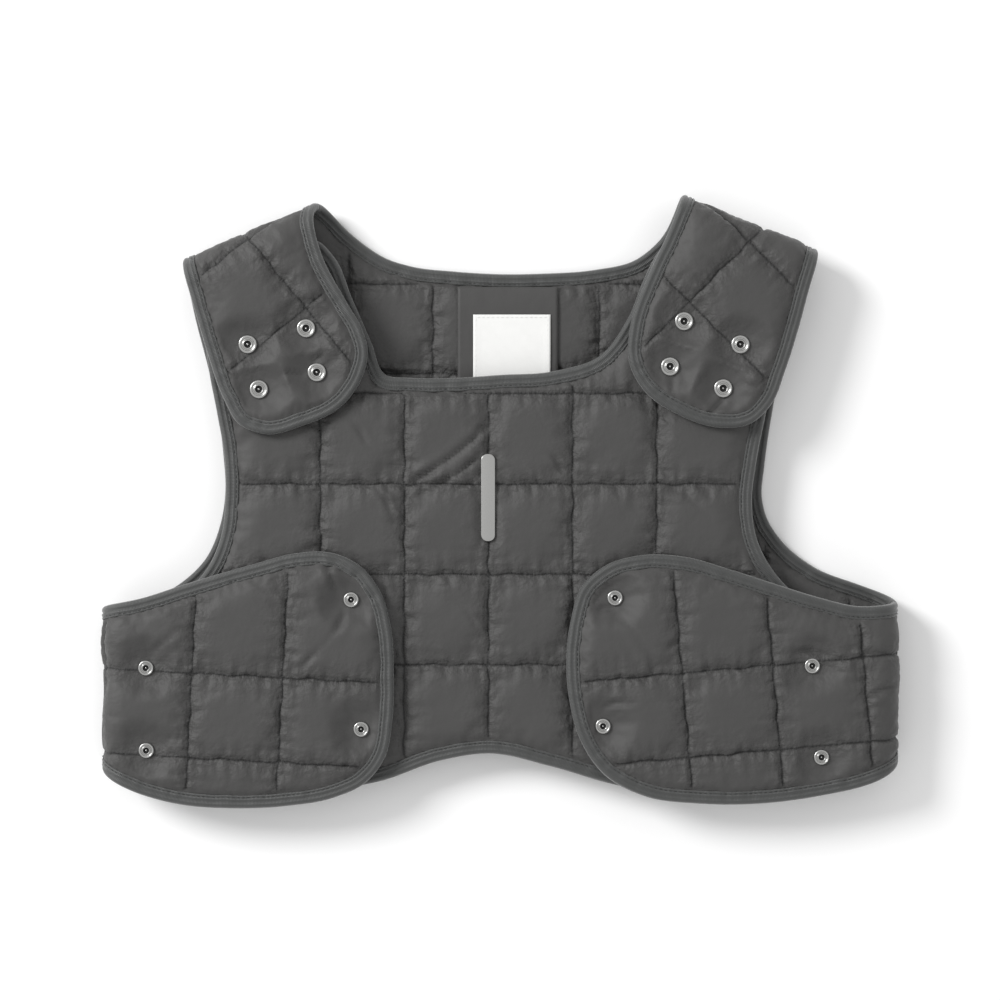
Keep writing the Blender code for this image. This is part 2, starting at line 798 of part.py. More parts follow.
def build_vest():
    wing_snaps = {side: [in_plan(*row) for row in rows] for side, rows in WING_SNAPS.items()}
    tab_snaps = {side: [in_plan(*row) for row in rows] for side, rows in TAB_SNAPS.items()}
    all_snaps = {**wing_snaps, **tab_snaps}
    every = [snap for group in all_snaps.values() for snap in group]

    back = Panel(
        "back_panel",
        Layer(BACK_LEVEL, SIDE_FOLDS + SHOULDER_FOLDS, rises=False),
        (BACK_NECK[::-1], BACK_RIGHT_ARMHOLE[::-1], BACK_HEM[::-1], BACK_LEFT_ARMHOLE[::-1]),
        BACK_QUILT,
    )
    front = Panel("front_panel", Layer(FRONT_LEVEL), (FRONT_OUTLINE,), FRONT_QUILT, every, FRONT_SNAP_LEVEL)

    def overlay(name, folds, table, quilt):
        snaps = all_snaps[name]
        return Panel(name, Layer(TOP_LEVEL, folds), (table,), quilt, snaps, TOP_SNAP_LEVEL)

    overlays = (
        overlay("left_wing", SIDE_FOLDS[:1], LEFT_WING_EDGE, LEFT_WING_QUILT),
        overlay("right_wing", SIDE_FOLDS[1:], RIGHT_WING_EDGE, RIGHT_WING_QUILT),
        overlay("left_tab", SHOULDER_FOLDS[:1], LEFT_TAB_EDGE, LEFT_TAB_QUILT),
        overlay("right_tab", SHOULDER_FOLDS[1:], RIGHT_TAB_EDGE, RIGHT_TAB_QUILT),
    )
    for panel in (back, front) + overlays:
        panel.build(FABRIC)

    for name, edge in zip(("neck", "right_armhole", "hem", "left_armhole"), back.edges):
        binding(f"back_{name}_binding", back, edge, TAPE)
    binding("front_binding", front, front.edges[0], TAPE)
    for panel in overlays:
        binding(f"{panel.name}_binding", panel, panel.edges[0], TAPE)

    for side, snaps in all_snaps.items():
        diameter = WING_SNAP_DIAMETER if side in WING_SNAPS else TAB_SNAP_DIAMETER
        for number, snap in enumerate(snaps, 1):
            snap_fastener(f"{side}_snap_{number}", snap, diameter, METAL)

    neck_patch(back, FABRIC)
    label_base = BACK_LEVEL + PAD_THICKNESS / 2 + CLEARANCE + PATCH_THICKNESS + CLEARANCE
    label = (in_plan(*LABEL_MIDDLE), LABEL_WIDTH, LABEL_LENGTH, label_base, LABEL_THICKNESS)
    plain_plate("neck_label", *label, LABEL_CLOTH)
    bar = in_plan(*BAR_MIDDLE)
    sides = [bar + np.array([BAR_WIDTH / 2, step * BAR_LENGTH / 2]) for step in np.linspace(-1, 1, 9)]
    bar_base = FRONT_LEVEL + max(front.thickness(p) for p in sides) / 2 + CLEARANCE
    plain_plate("chest_bar", bar, BAR_WIDTH, BAR_LENGTH, bar_base, BAR_THICKNESS, METAL)


def centre_on_origin():
    """Puts the origin under the middle of the vest, on the surface that it lies on."""
    bpy.context.view_layer.update()
    pieces = list(bpy.context.scene.objects)
    corners = [p.matrix_world @ Vector(corner) for p in pieces for corner in p.bound_box]
    low = Vector(min(c[i] for c in corners) for i in range(3))
    high = Vector(max(c[i] for c in corners) for i in range(3))
    shift = Vector(((low.x + high.x) / 2, (low.y + high.y) / 2, low.z))
    for piece in pieces:
        piece.location -= shift
    print("size in mm:", [round(v / MM, 1) for v in high - low])


clear_scene()
build_vest()
centre_on_origin()
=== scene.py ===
"""The looks of a quilted padded vest that lies flat with its front up.

Each panel is cut flat to its pattern, blown up as cloth between its quilt seams, and then laid
on its layer, round the sides and over the shoulders. Tape binds the free edges, ring snaps
close the wings and tabs, and a patch with a bare label sits inside the neck. Left and right
are the viewer's, looking down at the front.
"""

import functools
import math

import bmesh
import bpy
import numpy as np
from bpy.props import FloatProperty, FloatVectorProperty, IntProperty, PointerProperty
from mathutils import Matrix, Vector, noise
from mathutils.geometry import delaunay_2d_cdt


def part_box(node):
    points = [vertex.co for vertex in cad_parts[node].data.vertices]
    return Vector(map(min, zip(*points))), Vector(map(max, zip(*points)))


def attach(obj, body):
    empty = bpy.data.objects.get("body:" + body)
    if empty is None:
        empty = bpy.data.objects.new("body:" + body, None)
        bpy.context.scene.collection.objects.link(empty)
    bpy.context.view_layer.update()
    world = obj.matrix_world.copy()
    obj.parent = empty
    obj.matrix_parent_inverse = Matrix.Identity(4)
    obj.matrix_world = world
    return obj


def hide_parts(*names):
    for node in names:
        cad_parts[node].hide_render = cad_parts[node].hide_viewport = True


bl_info = {
    "name": "Quilted Padded Vest",
    "version": (1, 0, 0),
    "blender": (4, 5, 0),
    "location": "3D View > Sidebar > Vest",
    "description": "Dresses a quilted padded vest, piece by piece",
    "category": "Add Mesh",
}

MM = 0.001

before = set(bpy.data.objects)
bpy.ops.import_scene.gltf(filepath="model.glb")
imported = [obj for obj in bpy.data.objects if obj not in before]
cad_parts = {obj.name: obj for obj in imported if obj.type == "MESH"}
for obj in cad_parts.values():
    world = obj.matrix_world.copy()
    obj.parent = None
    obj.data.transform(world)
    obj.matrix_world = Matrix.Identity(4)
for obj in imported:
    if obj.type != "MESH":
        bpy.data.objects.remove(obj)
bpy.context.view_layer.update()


def low_corner(node):
    return np.array(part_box(node)[0])


def high_corner(node):
    return np.array(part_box(node)[1])


def middle_of(node):
    return (low_corner(node) + high_corner(node)) / 2


def size_of(node):
    return high_corner(node) - low_corner(node)


# Sizes and levels that the solids set
VEST_WIDTH = size_of("back_panel")[0]
VEST_LENGTH = 393 * MM
PAD_THICKNESS = size_of("front_panel")[2]
BACK_LEVEL = PAD_THICKNESS / 2
FRONT_LEVEL = low_corner("front_panel")[2] + PAD_THICKNESS / 2
TOP_LEVEL = high_corner("left_wing")[2] - PAD_THICKNESS / 2
PINCHED_THICKNESS = 3 * MM
CLEARANCE = 0.3 * MM
FOLD_RADIUS = (TOP_LEVEL - BACK_LEVEL) / 2
FOLD_REACH = FOLD_RADIUS + PINCHED_THICKNESS / 2
SEAM_ARC = FOLD_RADIUS * math.pi / 2 - CLEARANCE / 2

# Quilting: the grid, how the puffs rise from their edges, and the waves on them
QUILT_PITCHES = (54 * MM, 58 * MM)
EDGE_RISE = 18 * MM
FILLING_SHARE = 0.5
FOLD_RISE = 30 * MM
PUFF_FULLNESS = 0.42
PUFF_HEIGHT = 5.6 * MM
SEAM_GROOVE, GROOVE_WIDTH = 1.4 * MM, 1.4 * MM
PUCKER, PUCKER_REACH = 1.1 * MM, 8 * MM
WANDER, WANDER_REACH = 0.8 * MM, 10 * MM
BROAD_WAVE, BROAD_PITCH = 0.8 * MM, 61 * MM

# Limits of half the cloth's thickness, and how far below the most it starts to round off
LEAST_HALF, MOST_HALF, BACK_MOST_HALF, KNEE = 0.5 * MM, 6.4 * MM, 5.1 * MM, 1.2 * MM

# How far the filling may move a point of the cloth sideways
MOST_SHIFT = 2.5 * MM

# Bindings
BINDING_WIDTH = 8.5 * MM
BINDING_WALL = 1.0 * MM
TUCK = BINDING_WALL + CLEARANCE
LIP = BINDING_WIDTH + CLEARANCE

# Snaps
SNAP_SEAT = 6.2 * MM
SNAP_PINCH = 17 * MM
SNAP_LIFT = 2.5 * MM
SNAP_PULL = TOP_LEVEL - FRONT_LEVEL - PINCHED_THICKNESS - CLEARANCE
SNAP_PULL_SHARE = 0.6
TOP_SNAP_LEVEL = TOP_LEVEL - SNAP_PULL * SNAP_PULL_SHARE + SNAP_LIFT
FRONT_SNAP_LEVEL = TOP_SNAP_LEVEL - PINCHED_THICKNESS - CLEARANCE

# Outlines in plan. Columns: across, a share of half the width; along, of half the length
FRONT_OUTLINE = (
    (-0.286, 0.410), (-0.230, 0.402), (-0.120, 0.401), (0.000, 0.411), (0.138, 0.424),
    (0.251, 0.473), (0.321, 0.593), (0.363, 0.726), (0.400, 0.815), (0.445, 0.872),
    (0.510, 0.850), (0.670, 0.750), (0.735, 0.705), (0.748, 0.640), (0.722, 0.560),
    (0.692, 0.440), (0.672, 0.300), (0.645, 0.120), (0.635, 0.000), (0.645, -0.115),
    (0.695, -0.240), (0.765, -0.325), (0.840, -0.375), (0.895, -0.425), (0.915, -0.520),
    (0.915, -0.720), (0.895, -0.855), (0.830, -0.920), (0.700, -0.950), (0.500, -0.960),
    (0.300, -0.932), (0.125, -0.868), (-0.025, -0.827), (-0.150, -0.850), (-0.300, -0.917),
    (-0.450, -0.950), (-0.650, -0.965), (-0.800, -0.965), (-0.905, -0.943), (-0.947, -0.885),
    (-0.957, -0.770), (-0.955, -0.600), (-0.940, -0.470), (-0.880, -0.385), (-0.800, -0.310),
    (-0.735, -0.215), (-0.704, -0.120), (-0.692, 0.000), (-0.695, 0.150), (-0.712, 0.280),
    (-0.735, 0.440), (-0.745, 0.580), (-0.740, 0.655), (-0.690, 0.715), (-0.520, 0.835),
    (-0.462, 0.850), (-0.420, 0.800), (-0.372, 0.660), (-0.325, 0.520),
)
BACK_NECK = (
    (0.459, 1.000), (0.403, 0.855), (0.345, 0.795), (0.240, 0.762), (0.113, 0.750),
    (0.000, 0.748), (-0.118, 0.757), (-0.220, 0.772), (-0.290, 0.800), (-0.365, 0.865),
    (-0.459, 0.974),
)
BACK_LEFT_ARMHOLE = (
    (-0.799, 0.785), (-0.775, 0.600), (-0.745, 0.450), (-0.720, 0.310), (-0.704, 0.150),
    (-0.699, 0.030), (-0.712, -0.080), (-0.748, -0.190), (-0.810, -0.270), (-0.890, -0.325),
    (-1.000, -0.348),
)
BACK_HEM = (
    (-1.000, -0.878), (-0.890, -0.925), (-0.720, -0.950), (-0.500, -0.945), (-0.320, -0.885),
    (-0.170, -0.820), (-0.020, -0.797), (0.130, -0.830), (0.300, -0.895), (0.480, -0.940),
    (0.680, -0.945), (0.860, -0.910), (1.000, -0.860),
)
BACK_RIGHT_ARMHOLE = (
    (1.000, -0.330), (0.915, -0.278), (0.800, -0.220), (0.718, -0.135), (0.677, -0.050),
    (0.666, 0.020), (0.672, 0.105), (0.698, 0.330), (0.725, 0.500), (0.762, 0.650),
    (0.802, 0.814),
)
LEFT_WING_EDGE = (
    (-1.000, -0.348), (-0.900, -0.318), (-0.785, -0.270), (-0.617, -0.206), (-0.507, -0.170),
    (-0.420, -0.170), (-0.345, -0.217), (-0.298, -0.300), (-0.272, -0.420), (-0.266, -0.560),
    (-0.270, -0.720), (-0.288, -0.835), (-0.335, -0.915), (-0.415, -0.965), (-0.530, -0.992),
    (-0.670, -1.000), (-0.790, -0.990), (-0.900, -0.955), (-1.000, -0.878),
)
RIGHT_WING_EDGE = (
    (1.000, -0.860), (0.930, -0.920), (0.800, -0.960), (0.650, -0.985), (0.500, -0.985),
    (0.360, -0.960), (0.260, -0.890), (0.205, -0.790), (0.175, -0.660), (0.166, -0.540),
    (0.177, -0.390), (0.205, -0.278), (0.265, -0.210), (0.350, -0.178), (0.460, -0.182),
    (0.580, -0.225), (0.700, -0.275), (0.800, -0.315), (0.890, -0.342), (1.000, -0.330),
)
LEFT_TAB_EDGE = (
    (-0.459, 0.974), (-0.466, 0.892), (-0.448, 0.805), (-0.385, 0.648), (-0.346, 0.560),
    (-0.331, 0.488), (-0.345, 0.400), (-0.400, 0.303), (-0.490, 0.245), (-0.590, 0.216),
    (-0.655, 0.250), (-0.692, 0.330), (-0.733, 0.480), (-0.765, 0.620), (-0.799, 0.785),
)
RIGHT_TAB_EDGE = (
    (0.802, 0.814), (0.775, 0.690), (0.748, 0.560), (0.715, 0.425), (0.678, 0.310),
    (0.628, 0.250), (0.550, 0.237), (0.445, 0.280), (0.362, 0.355), (0.323, 0.450),
    (0.325, 0.560), (0.370, 0.730), (0.422, 0.875), (0.459, 1.000),
)

# Snaps. Columns: across and along, as above
WING_SNAPS = {
    "left_wing": ((-0.373, -0.322), (-0.348, -0.743), (-0.887, -0.544), (-0.886, -0.812)),
    "right_wing": ((0.288, -0.316), (0.258, -0.733), (0.782, -0.537), (0.805, -0.834)),
}
TAB_SNAPS = {
    "left_tab": ((-0.486, 0.560), (-0.459, 0.417), (-0.632, 0.508), (-0.604, 0.362)),
    "right_tab": ((0.461, 0.583), (0.426, 0.436), (0.602, 0.508), (0.559, 0.365)),
}

# Where the seam grid of each panel crosses. Columns: across, along, turn in degrees
FRONT_QUILT = (-0.030, 0.055, 0)
BACK_QUILT = (0.040, 0.420, 0)
LEFT_WING_QUILT = (-0.772, -0.560, 87)
RIGHT_WING_QUILT = (0.455, -0.560, 95)
LEFT_TAB_QUILT = (-0.487, 0.627, 39.5)
RIGHT_TAB_QUILT = (0.473, 0.647, 45)

# Shifts the outlines so that they lie where the solids do
PLAN_SHIFT = middle_of("left_tab_snap_1")[1] - TAB_SNAPS["left_tab"][0][1] * VEST_LENGTH / 2

# The quilt seams that each panel has, from the one at the grid's origin. Others have them all
EVERY_SEAM = ((-20, 20), (-20, 20))
SEAM_RANGES = {
    "front_panel": ((-2, 2), (-2, 1)),
    "left_wing": ((-2, 0), (-1, 20)),
    "right_wing": ((-2, 0), (-20, 0)),
    "left_tab": ((0, 0), (0, 1)),
    "right_tab": ((0, 1), (0, 0)),
}

# Creases across the panels. Columns: start and end, across and along, then depth and half width in mm
CREASES = {
    "front_panel": (
        (-0.033, 0.244, -0.236, 0.030, 3.6, 2.3),
        (-0.040, 0.165, -0.170, 0.030, 2.6, 1.8),
        (-0.045, 0.100, -0.115, 0.020, 1.6, 1.6),
        (-0.384, 0.267, -0.323, 0.179, 1.7, 1.8),
        (-0.309, 0.026, -0.262, -0.065, 1.6, 1.8),
        (0.115, 0.160, 0.170, 0.090, 1.2, 1.8),
        (-0.110, -0.330, -0.050, -0.420, 1.1, 1.8),
        (0.420, 0.060, 0.540, -0.060, 0.9, 3.0),
    ),
    "left_wing": (
        (-0.385, -0.370, -0.500, -0.560, 2.0, 2.3),
        (-0.400, -0.300, -0.440, -0.200, 1.4, 1.9),
        (-0.464, -0.791, -0.412, -0.759, 1.3, 1.8),
        (-0.880, -0.520, -0.800, -0.400, 1.2, 2.2),
    ),
    "right_wing": (
        (0.737, -0.492, 0.827, -0.498, 1.9, 1.8),
        (0.259, -0.672, 0.344, -0.648, 1.8, 1.8),
        (0.921, -0.658, 0.979, -0.586, 1.5, 1.8),
        (0.244, -0.364, 0.286, -0.339, 1.3, 1.8),
        (0.300, -0.370, 0.400, -0.540, 1.0, 2.4),
    ),
    "left_tab": (
        (-0.442, 0.485, -0.469, 0.449, 1.8, 1.8),
        (-0.552, 0.405, -0.487, 0.417, 1.6, 1.8),
        (-0.356, 0.440, -0.392, 0.505, 1.1, 1.8),
    ),
    "right_tab": (
        (0.565, 0.351, 0.522, 0.267, 1.7, 1.8),
        (0.655, 0.377, 0.605, 0.374, 1.3, 1.8),
        (0.424, 0.400, 0.439, 0.350, 1.2, 1.8),
    ),
}


def length_setting(name, description, default):
    kind = {"subtype": "DISTANCE", "unit": "LENGTH"}
    return FloatProperty(name=name, description=description, default=default, min=0.1 * MM, **kind)


def colour_setting(name, description, default):
    return FloatVectorProperty(name=name, description=description, default=default, subtype="COLOR")


class VestCloth(bpy.types.PropertyGroup):
    """How the quilted cloth is cut, filled and coloured."""

    mesh_step: length_setting("Mesh step", "Distance between the points of the cloth", 2.1 * MM)
    slack: FloatProperty(
        name="Slack",
        description="How much longer the nylon is cut than the seams that hold it",
        default=0.035,
        subtype="FACTOR",
    )
    pressure: FloatProperty(
        name="Filling pressure",
        description="How hard the wadding pushes the nylon out",
        default=1.2,
    )
    frames: IntProperty(
        name="Frames",
        description="Steps of the simulation that fills the cloth",
        default=16,
        min=2,
        max=20,
    )
    colour: colour_setting("Nylon colour", "Colour of the quilted nylon", (0.046, 0.045, 0.044))
    tape_colour: colour_setting("Tape colour", "Colour of the binding tape", (0.042, 0.0435, 0.0425))
    thread_colour: colour_setting("Thread colour", "Colour of the stitches", (0.016, 0.016, 0.016))
    label_colour: colour_setting("Label colour", "Colour of the woven label", (0.80, 0.80, 0.785))


class VestTrim(bpy.types.PropertyGroup):
    """Sizes of the stitches and the metal pieces."""

    stitch_length: length_setting("Stitch length", "Length of one stitch", 2.4 * MM)
    stitch_pitch: length_setting("Stitch pitch", "Distance from one stitch to the next", 3.2 * MM)
    thread: length_setting("Thread thickness", "Thickness of the sewing thread", 0.45 * MM)
    metal_colour: colour_setting("Metal colour", "Colour of the snaps and the bar", (0.44, 0.44, 0.43))
    floor_colour: colour_setting("Floor colour", "Colour of the floor", (0.93, 0.93, 0.93))


def in_plan(across, along):
    return np.array([across * VEST_WIDTH / 2, along * VEST_LENGTH / 2 + PLAN_SHIFT])


def eased(share):
    """0 to 1, with no kink at either end."""
    share = np.clip(share, 0, 1)
    return share * share * (3 - 2 * share)


def puffed(share):
    """How full the padding is at this share of the way from a pinched line to the middle."""
    return np.sin(np.clip(share, 0, 1) * math.pi / 2) ** PUFF_FULLNESS


# Irregular waves. Columns: pitch, share of the whole, turn from one seam to the next
SEAM_WAVES = ((11.3 * MM, 0.45, 2.4), (7.1 * MM, 0.35, 4.1), (4.7 * MM, 0.20, 5.3))


def ripples(run, seam):
    """Irregular waves along a seam, from -1 to 1, unlike those of any other seam."""
    return sum(
        share * np.sin(run / pitch * 2 * math.pi + turn * seam) for pitch, share, turn in SEAM_WAVES
    )


def gathers(run, seam):
    """Irregular rounded folds with sharp creases between them, from -1 to 1."""
    folds = (
        share * abs(np.sin(run / pitch * math.pi + turn * seam)) for pitch, share, turn in SEAM_WAVES
    )
    return 2 * sum(folds) - 1


def distances(points, segments):
    """The distance in plan from each point to the nearest of some segments."""
    starts = np.array([s[0] for s in segments])
    spans = np.array([s[1] for s in segments]) - starts
    lengths = np.maximum((spans**2).sum(1), 1e-12)
    found = []
    for some in np.array_split(points, max(1, len(points) // 2000)):
        offsets = some[:, None] - starts
        shares = np.clip((offsets * spans).sum(2) / lengths, 0, 1)
        found.append(np.linalg.norm(offsets - shares[..., None] * spans, axis=2).min(1))
    return np.concatenate(found)


def inside(points, polygon):
    """Which points lie in a closed outline."""
    starts = np.array(polygon)
    ends = np.roll(starts, -1, axis=0)
    rises = ends[:, 1] - starts[:, 1]
    slopes = (ends[:, 0] - starts[:, 0]) / np.where(rises == 0, 1, rises)
    x, y = points[:, :1], points[:, 1:]
    crosses = (starts[:, 1] > y) != (ends[:, 1] > y)
    where = starts[:, 0] + (y - starts[:, 1]) * slopes
    return (crosses & (where > x)).sum(1) % 2 == 1


# Points on each span of a smooth curve, before it is spaced evenly
CURVE_STEPS = 24


def smooth_curve(points, closed):
    """Closely spaced points along a smooth curve through the given ones."""
    count = len(points)
    spans = count if closed else count - 1
    lengths = [np.linalg.norm(points[(i + 1) % count] - points[i]) for i in range(spans)]
    slopes = []
    for i in range(count):
        if closed or 0 < i < count - 1:
            before, after = lengths[i - 1], lengths[i % spans]
            back = (points[i] - points[i - 1]) / before
            ahead = (points[(i + 1) % count] - points[i]) / after
            slopes.append((ahead * before + back * after) / (before + after))
        else:
            near = min(i, count - 2)
            slopes.append((points[near + 1] - points[near]) / lengths[near])
    shares = np.linspace(0, 1, CURVE_STEPS, endpoint=False)[:, None]
    curve = []
    for i in range(spans):
        start, end = points[i], points[(i + 1) % count]
        curve.append(
            (2 * shares**3 - 3 * shares**2 + 1) * start
            + (shares**3 - 2 * shares**2 + shares) * lengths[i] * slopes[i]
            + (3 * shares**2 - 2 * shares**3) * end
            + (shares**3 - shares**2) * lengths[i] * slopes[(i + 1) % count]
        )
    return np.concatenate(curve + ([points[:1]] if closed else [points[-1:]]))


def travelled_along(points):
    """The distance along a line of points from its start to each of them."""
    return np.concatenate([[0], np.cumsum(np.linalg.norm(np.diff(points, axis=0), axis=1))])


def evenly_spaced(curve, step):
    """Points at even steps along a curve, both of its ends among them."""
    run = travelled_along(curve)
    stops = np.linspace(0, run[-1], max(2, round(run[-1] / step)) + 1)
    return np.column_stack([np.interp(stops, run, curve[:, i]) for i in (0, 1)])


class Fold:
    """A straight edge of the vest, where a layer turns over. The seam runs along its side."""

    def __init__(self, first, last):
        self.first, self.last = in_plan(*first), in_plan(*last)
        self.along = (self.last - self.first) / np.linalg.norm(self.last - self.first)
        self.outward = np.array([self.along[1], -self.along[0]])
        if np.dot(self.outward, self.first) < 0:
            self.outward = -self.outward

    def past(self, points):
        """How far pattern points lie past the line where the layer starts to turn."""
        return (points - self.first) @ self.outward + FOLD_REACH

    def seam_point(self, point):
        """The pattern point on the seam for an outline point on the folded edge."""
        return point + self.outward * (SEAM_ARC - self.past(point))


SIDE_FOLDS = (Fold(BACK_LEFT_ARMHOLE[-1], BACK_HEM[0]), Fold(BACK_HEM[-1], BACK_RIGHT_ARMHOLE[0]))
SHOULDER_FOLDS = (Fold(BACK_NECK[-1], BACK_LEFT_ARMHOLE[0]), Fold(BACK_RIGHT_ARMHOLE[-1], BACK_NECK[0]))


class Layer:
    """Carries a panel's flat pattern to its place: its height and the folds it turns at."""

    def __init__(self, level, folds=(), rises=True):
        self.level, self.folds, self.rises = level, folds, rises

    def place(self, points, heights):
        """The 3-D points at heights above the middle of the cloth."""
        turn = 1 if self.rises else -1
        placed = np.column_stack([points, self.level + heights])
        for fold in self.folds:
            past = fold.past(points)
            bent = past > 0
            reach = FOLD_RADIUS + turn * heights[bent]
            angle = past[bent] / FOLD_RADIUS
            shift = (reach * np.sin(angle) - past[bent])[:, None]
            placed[bent, :2] = points[bent] + fold.outward * shift
            placed[bent, 2] = self.level - turn * FOLD_RADIUS + turn * reach * np.cos(angle)
        return placed


class Edge:
    """A free edge of a panel: points along it, each with the direction into the cloth."""

    def __init__(self, table, layer, closed, step):
        points = np.array([in_plan(*row) for row in table])
        ends = []
        if not closed:
            ends = [self.fold_at(points[i], layer) for i in (0, -1)]
            points[0] = ends[0].seam_point(points[0])
            points[-1] = ends[1].seam_point(points[-1])
        self.points = evenly_spaced(smooth_curve(points, closed), step)
        ahead = np.roll(self.points, -1, axis=0)
        back = np.roll(self.points, 1, axis=0)
        if closed:
            ahead[-1], back[0] = self.points[1], self.points[-2]
        else:
            ahead[-1], back[0] = self.points[-1], self.points[0]
        along = (ahead - back) / np.linalg.norm(ahead - back, axis=1)[:, None]
        self.inward = np.column_stack([along[:, 1], -along[:, 0]])
        for place, fold in zip((0, -1), ends):
            side = np.dot(self.inward[place], fold.along)
            self.turn_to(place, fold.along * math.copysign(1, side))

    @staticmethod
    def fold_at(point, layer):
        """The fold that an outline point lies on."""

        def gap(fold):
            return abs(fold.past(point) - FOLD_REACH) + distances(point[None], [(fold.first, fold.last)])[0]

        return min(layer.folds, key=gap)

    def turn_to(self, place, direction):
        """Turns the inward directions near one end gently until they run along the seam."""
        reach = 10
        for i in range(reach):
            index = i if place == 0 else -1 - i
            mixed = direction * (1 - i / reach) + self.inward[index] * (i / reach)
            self.inward[index] = mixed / np.linalg.norm(mixed)

    def inset(self, depth):
        return self.points + self.inward * depth

    def segments(self):
        return list(zip(self.points[:-1], self.points[1:]))


class Panel:
    """A quilted panel in its flat pattern: edges, turned seams, quilt grid and snaps."""

    def __init__(self, name, layer, tables, quilt, snaps=(), snap_level=0.0, limit=MOST_HALF):
        cloth = bpy.context.scene.vest_cloth
        self.name, self.layer, self.limit = name, layer, limit
        self.snaps, self.pull = snaps, snap_level - layer.level
        closed = not layer.folds
        self.edges = [Edge(table, layer, closed, cloth.mesh_step) for table in tables]
        self.turned = []
        outline = []
        for edge, after in zip(self.edges, self.edges[1:] + self.edges[:1]):
            line = edge.inset(TUCK)
            outline.append(line[:-1] if closed else line)
            if not closed:
                seam = np.array([edge.inset(TUCK)[-1], after.inset(TUCK)[0]])
                outline.append(evenly_spaced(seam, cloth.mesh_step)[1:-1])
                self.turned.append((edge.points[-1], after.points[0]))
        self.outline = np.concatenate(outline)
        self.free = [pair for edge in self.edges for pair in edge.segments()]
        across, along, turn = quilt
        self.origin = in_plan(across, along)
        self.axes = [
            np.array([math.cos(math.radians(a)), math.sin(math.radians(a))])
            for a in (turn, turn + 90)
        ]
        ranges = SEAM_RANGES.get(name, EVERY_SEAM)
        self.directions = list(zip(self.axes, self.axes[::-1], QUILT_PITCHES, ranges))

    def seam_lines(self, points):
        """For each direction: which seam is nearest, how far off it is, and the run along it."""
        offsets = points - self.origin
        for axis, other, pitch, (first, last) in self.directions:
            across = offsets @ axis / pitch
            line = np.clip(np.rint(across), first, last)
            yield line, (across - line) * pitch, offsets @ other

    def seam_distances(self, points):
        """The distance to the nearest quilt seam of each direction."""
        return [abs(away) for _, away, _ in self.seam_lines(points)]

    def puckers(self, points, margin):
        """The short wrinkles that run out from the quilt seams, and the groove along each."""
        found = np.zeros(len(points))
        clear = eased(distances(points, self.turned) / FOLD_RISE) if self.turned else 1
        for line, away, run in self.seam_lines(points):
            seam = abs(away)
            fade = np.exp(-seam / PUCKER_REACH) * (1 - np.exp(-seam / GROOVE_WIDTH)) * clear
            side = line * 2 + np.sign(away) + len(self.name)
            found += PUCKER * 2 * fade * gathers(run, side)
            found -= SEAM_GROOVE * np.exp(-((seam / GROOVE_WIDTH) ** 2))
        across, along = ((points - self.origin) @ axis / BROAD_PITCH * 2 * math.pi for axis in self.axes)
        found += BROAD_WAVE * np.sin(across + 1.3 * np.sin(along)) * np.sin(along * 0.8 + len(self.name))
        return found * eased(margin / (4 * MM)) * self.free_share(points)

    def wandered(self, points):
        """Plan points moved a little, so that the quilt seams are not quite straight."""
        moved = points.copy()
        for axis, (line, away, run) in zip(self.axes, self.seam_lines(points)):
            swing = WANDER * ripples(run / 3, line + len(self.name)) * np.exp(-abs(away) / WANDER_REACH)
            swing *= eased((distances(points, self.free) - LIP) / (10 * MM)) * self.free_share(points)
            moved += axis * swing[:, None]
        return moved

    def free_share(self, points):
        """0 at a snap, rising to 1 where the cloth is clear of them all."""
        if not len(self.snaps):
            return np.ones(len(points))
        near = np.linalg.norm(points[:, None] - np.array(self.snaps), axis=2).min(1)
        return eased((near - SNAP_SEAT) / SNAP_PINCH)

    def pulled(self, points, margin):
        """How far the snaps pull the middle of the cloth up or down. Bindings stay level."""
        return self.pull * (1 - self.free_share(points)) * eased(margin / (3 * MM))

    def half_thickness(self, points, margin):
        """Half of the padding's thickness, before the cloth is blown up."""
        full = np.ones(len(points))
        for seam, pitch in zip(self.seam_distances(points), QUILT_PITCHES):
            full = full * puffed(seam / pitch * 2)
        full = full * puffed(margin / EDGE_RISE) * self.free_share(points)
        if self.turned:
            full = full * puffed(distances(points, self.turned) / FOLD_RISE)
        pinched = PINCHED_THICKNESS / 2
        return pinched + (min(PUFF_HEIGHT, self.limit) - pinched) * full

    def lattice(self):
        """Points of the cloth in rows along the quilt seams, with the outline's own points."""
        step = bpy.context.scene.vest_cloth.mesh_step
        rows = []
        for axis, pitch in zip(self.axes, QUILT_PITCHES):
            spacing = pitch / round(pitch / step)
            steps = (self.outline - self.origin) @ axis / spacing
            rows.append(np.arange(math.floor(steps.min()), math.ceil(steps.max()) + 1) * spacing)
        across, along = np.meshgrid(*rows)
        points = self.origin + across.reshape(-1, 1) * self.axes[0] + along.reshape(-1, 1) * self.axes[1]
        points = points[inside(points, self.outline)]
        border = list(zip(self.outline, np.roll(self.outline, -1, axis=0)))
        return np.concatenate([self.outline, points[distances(points, border) > step * 0.6]])

    def triangulated(self):
        """The flat pattern as points and triangles."""
        flat = self.lattice()
        count = len(self.outline)
        border = [(i, (i + 1) % count) for i in range(count)]
        verts, _, faces, *_ = delaunay_2d_cdt([Vector(p) for p in flat], border, [], 1, 1e-7)
        points, faces = np.array([tuple(v) for v in verts]), np.array(faces)
        middles = points[faces].mean(1)
        return points, faces[inside(middles, self.outline)]

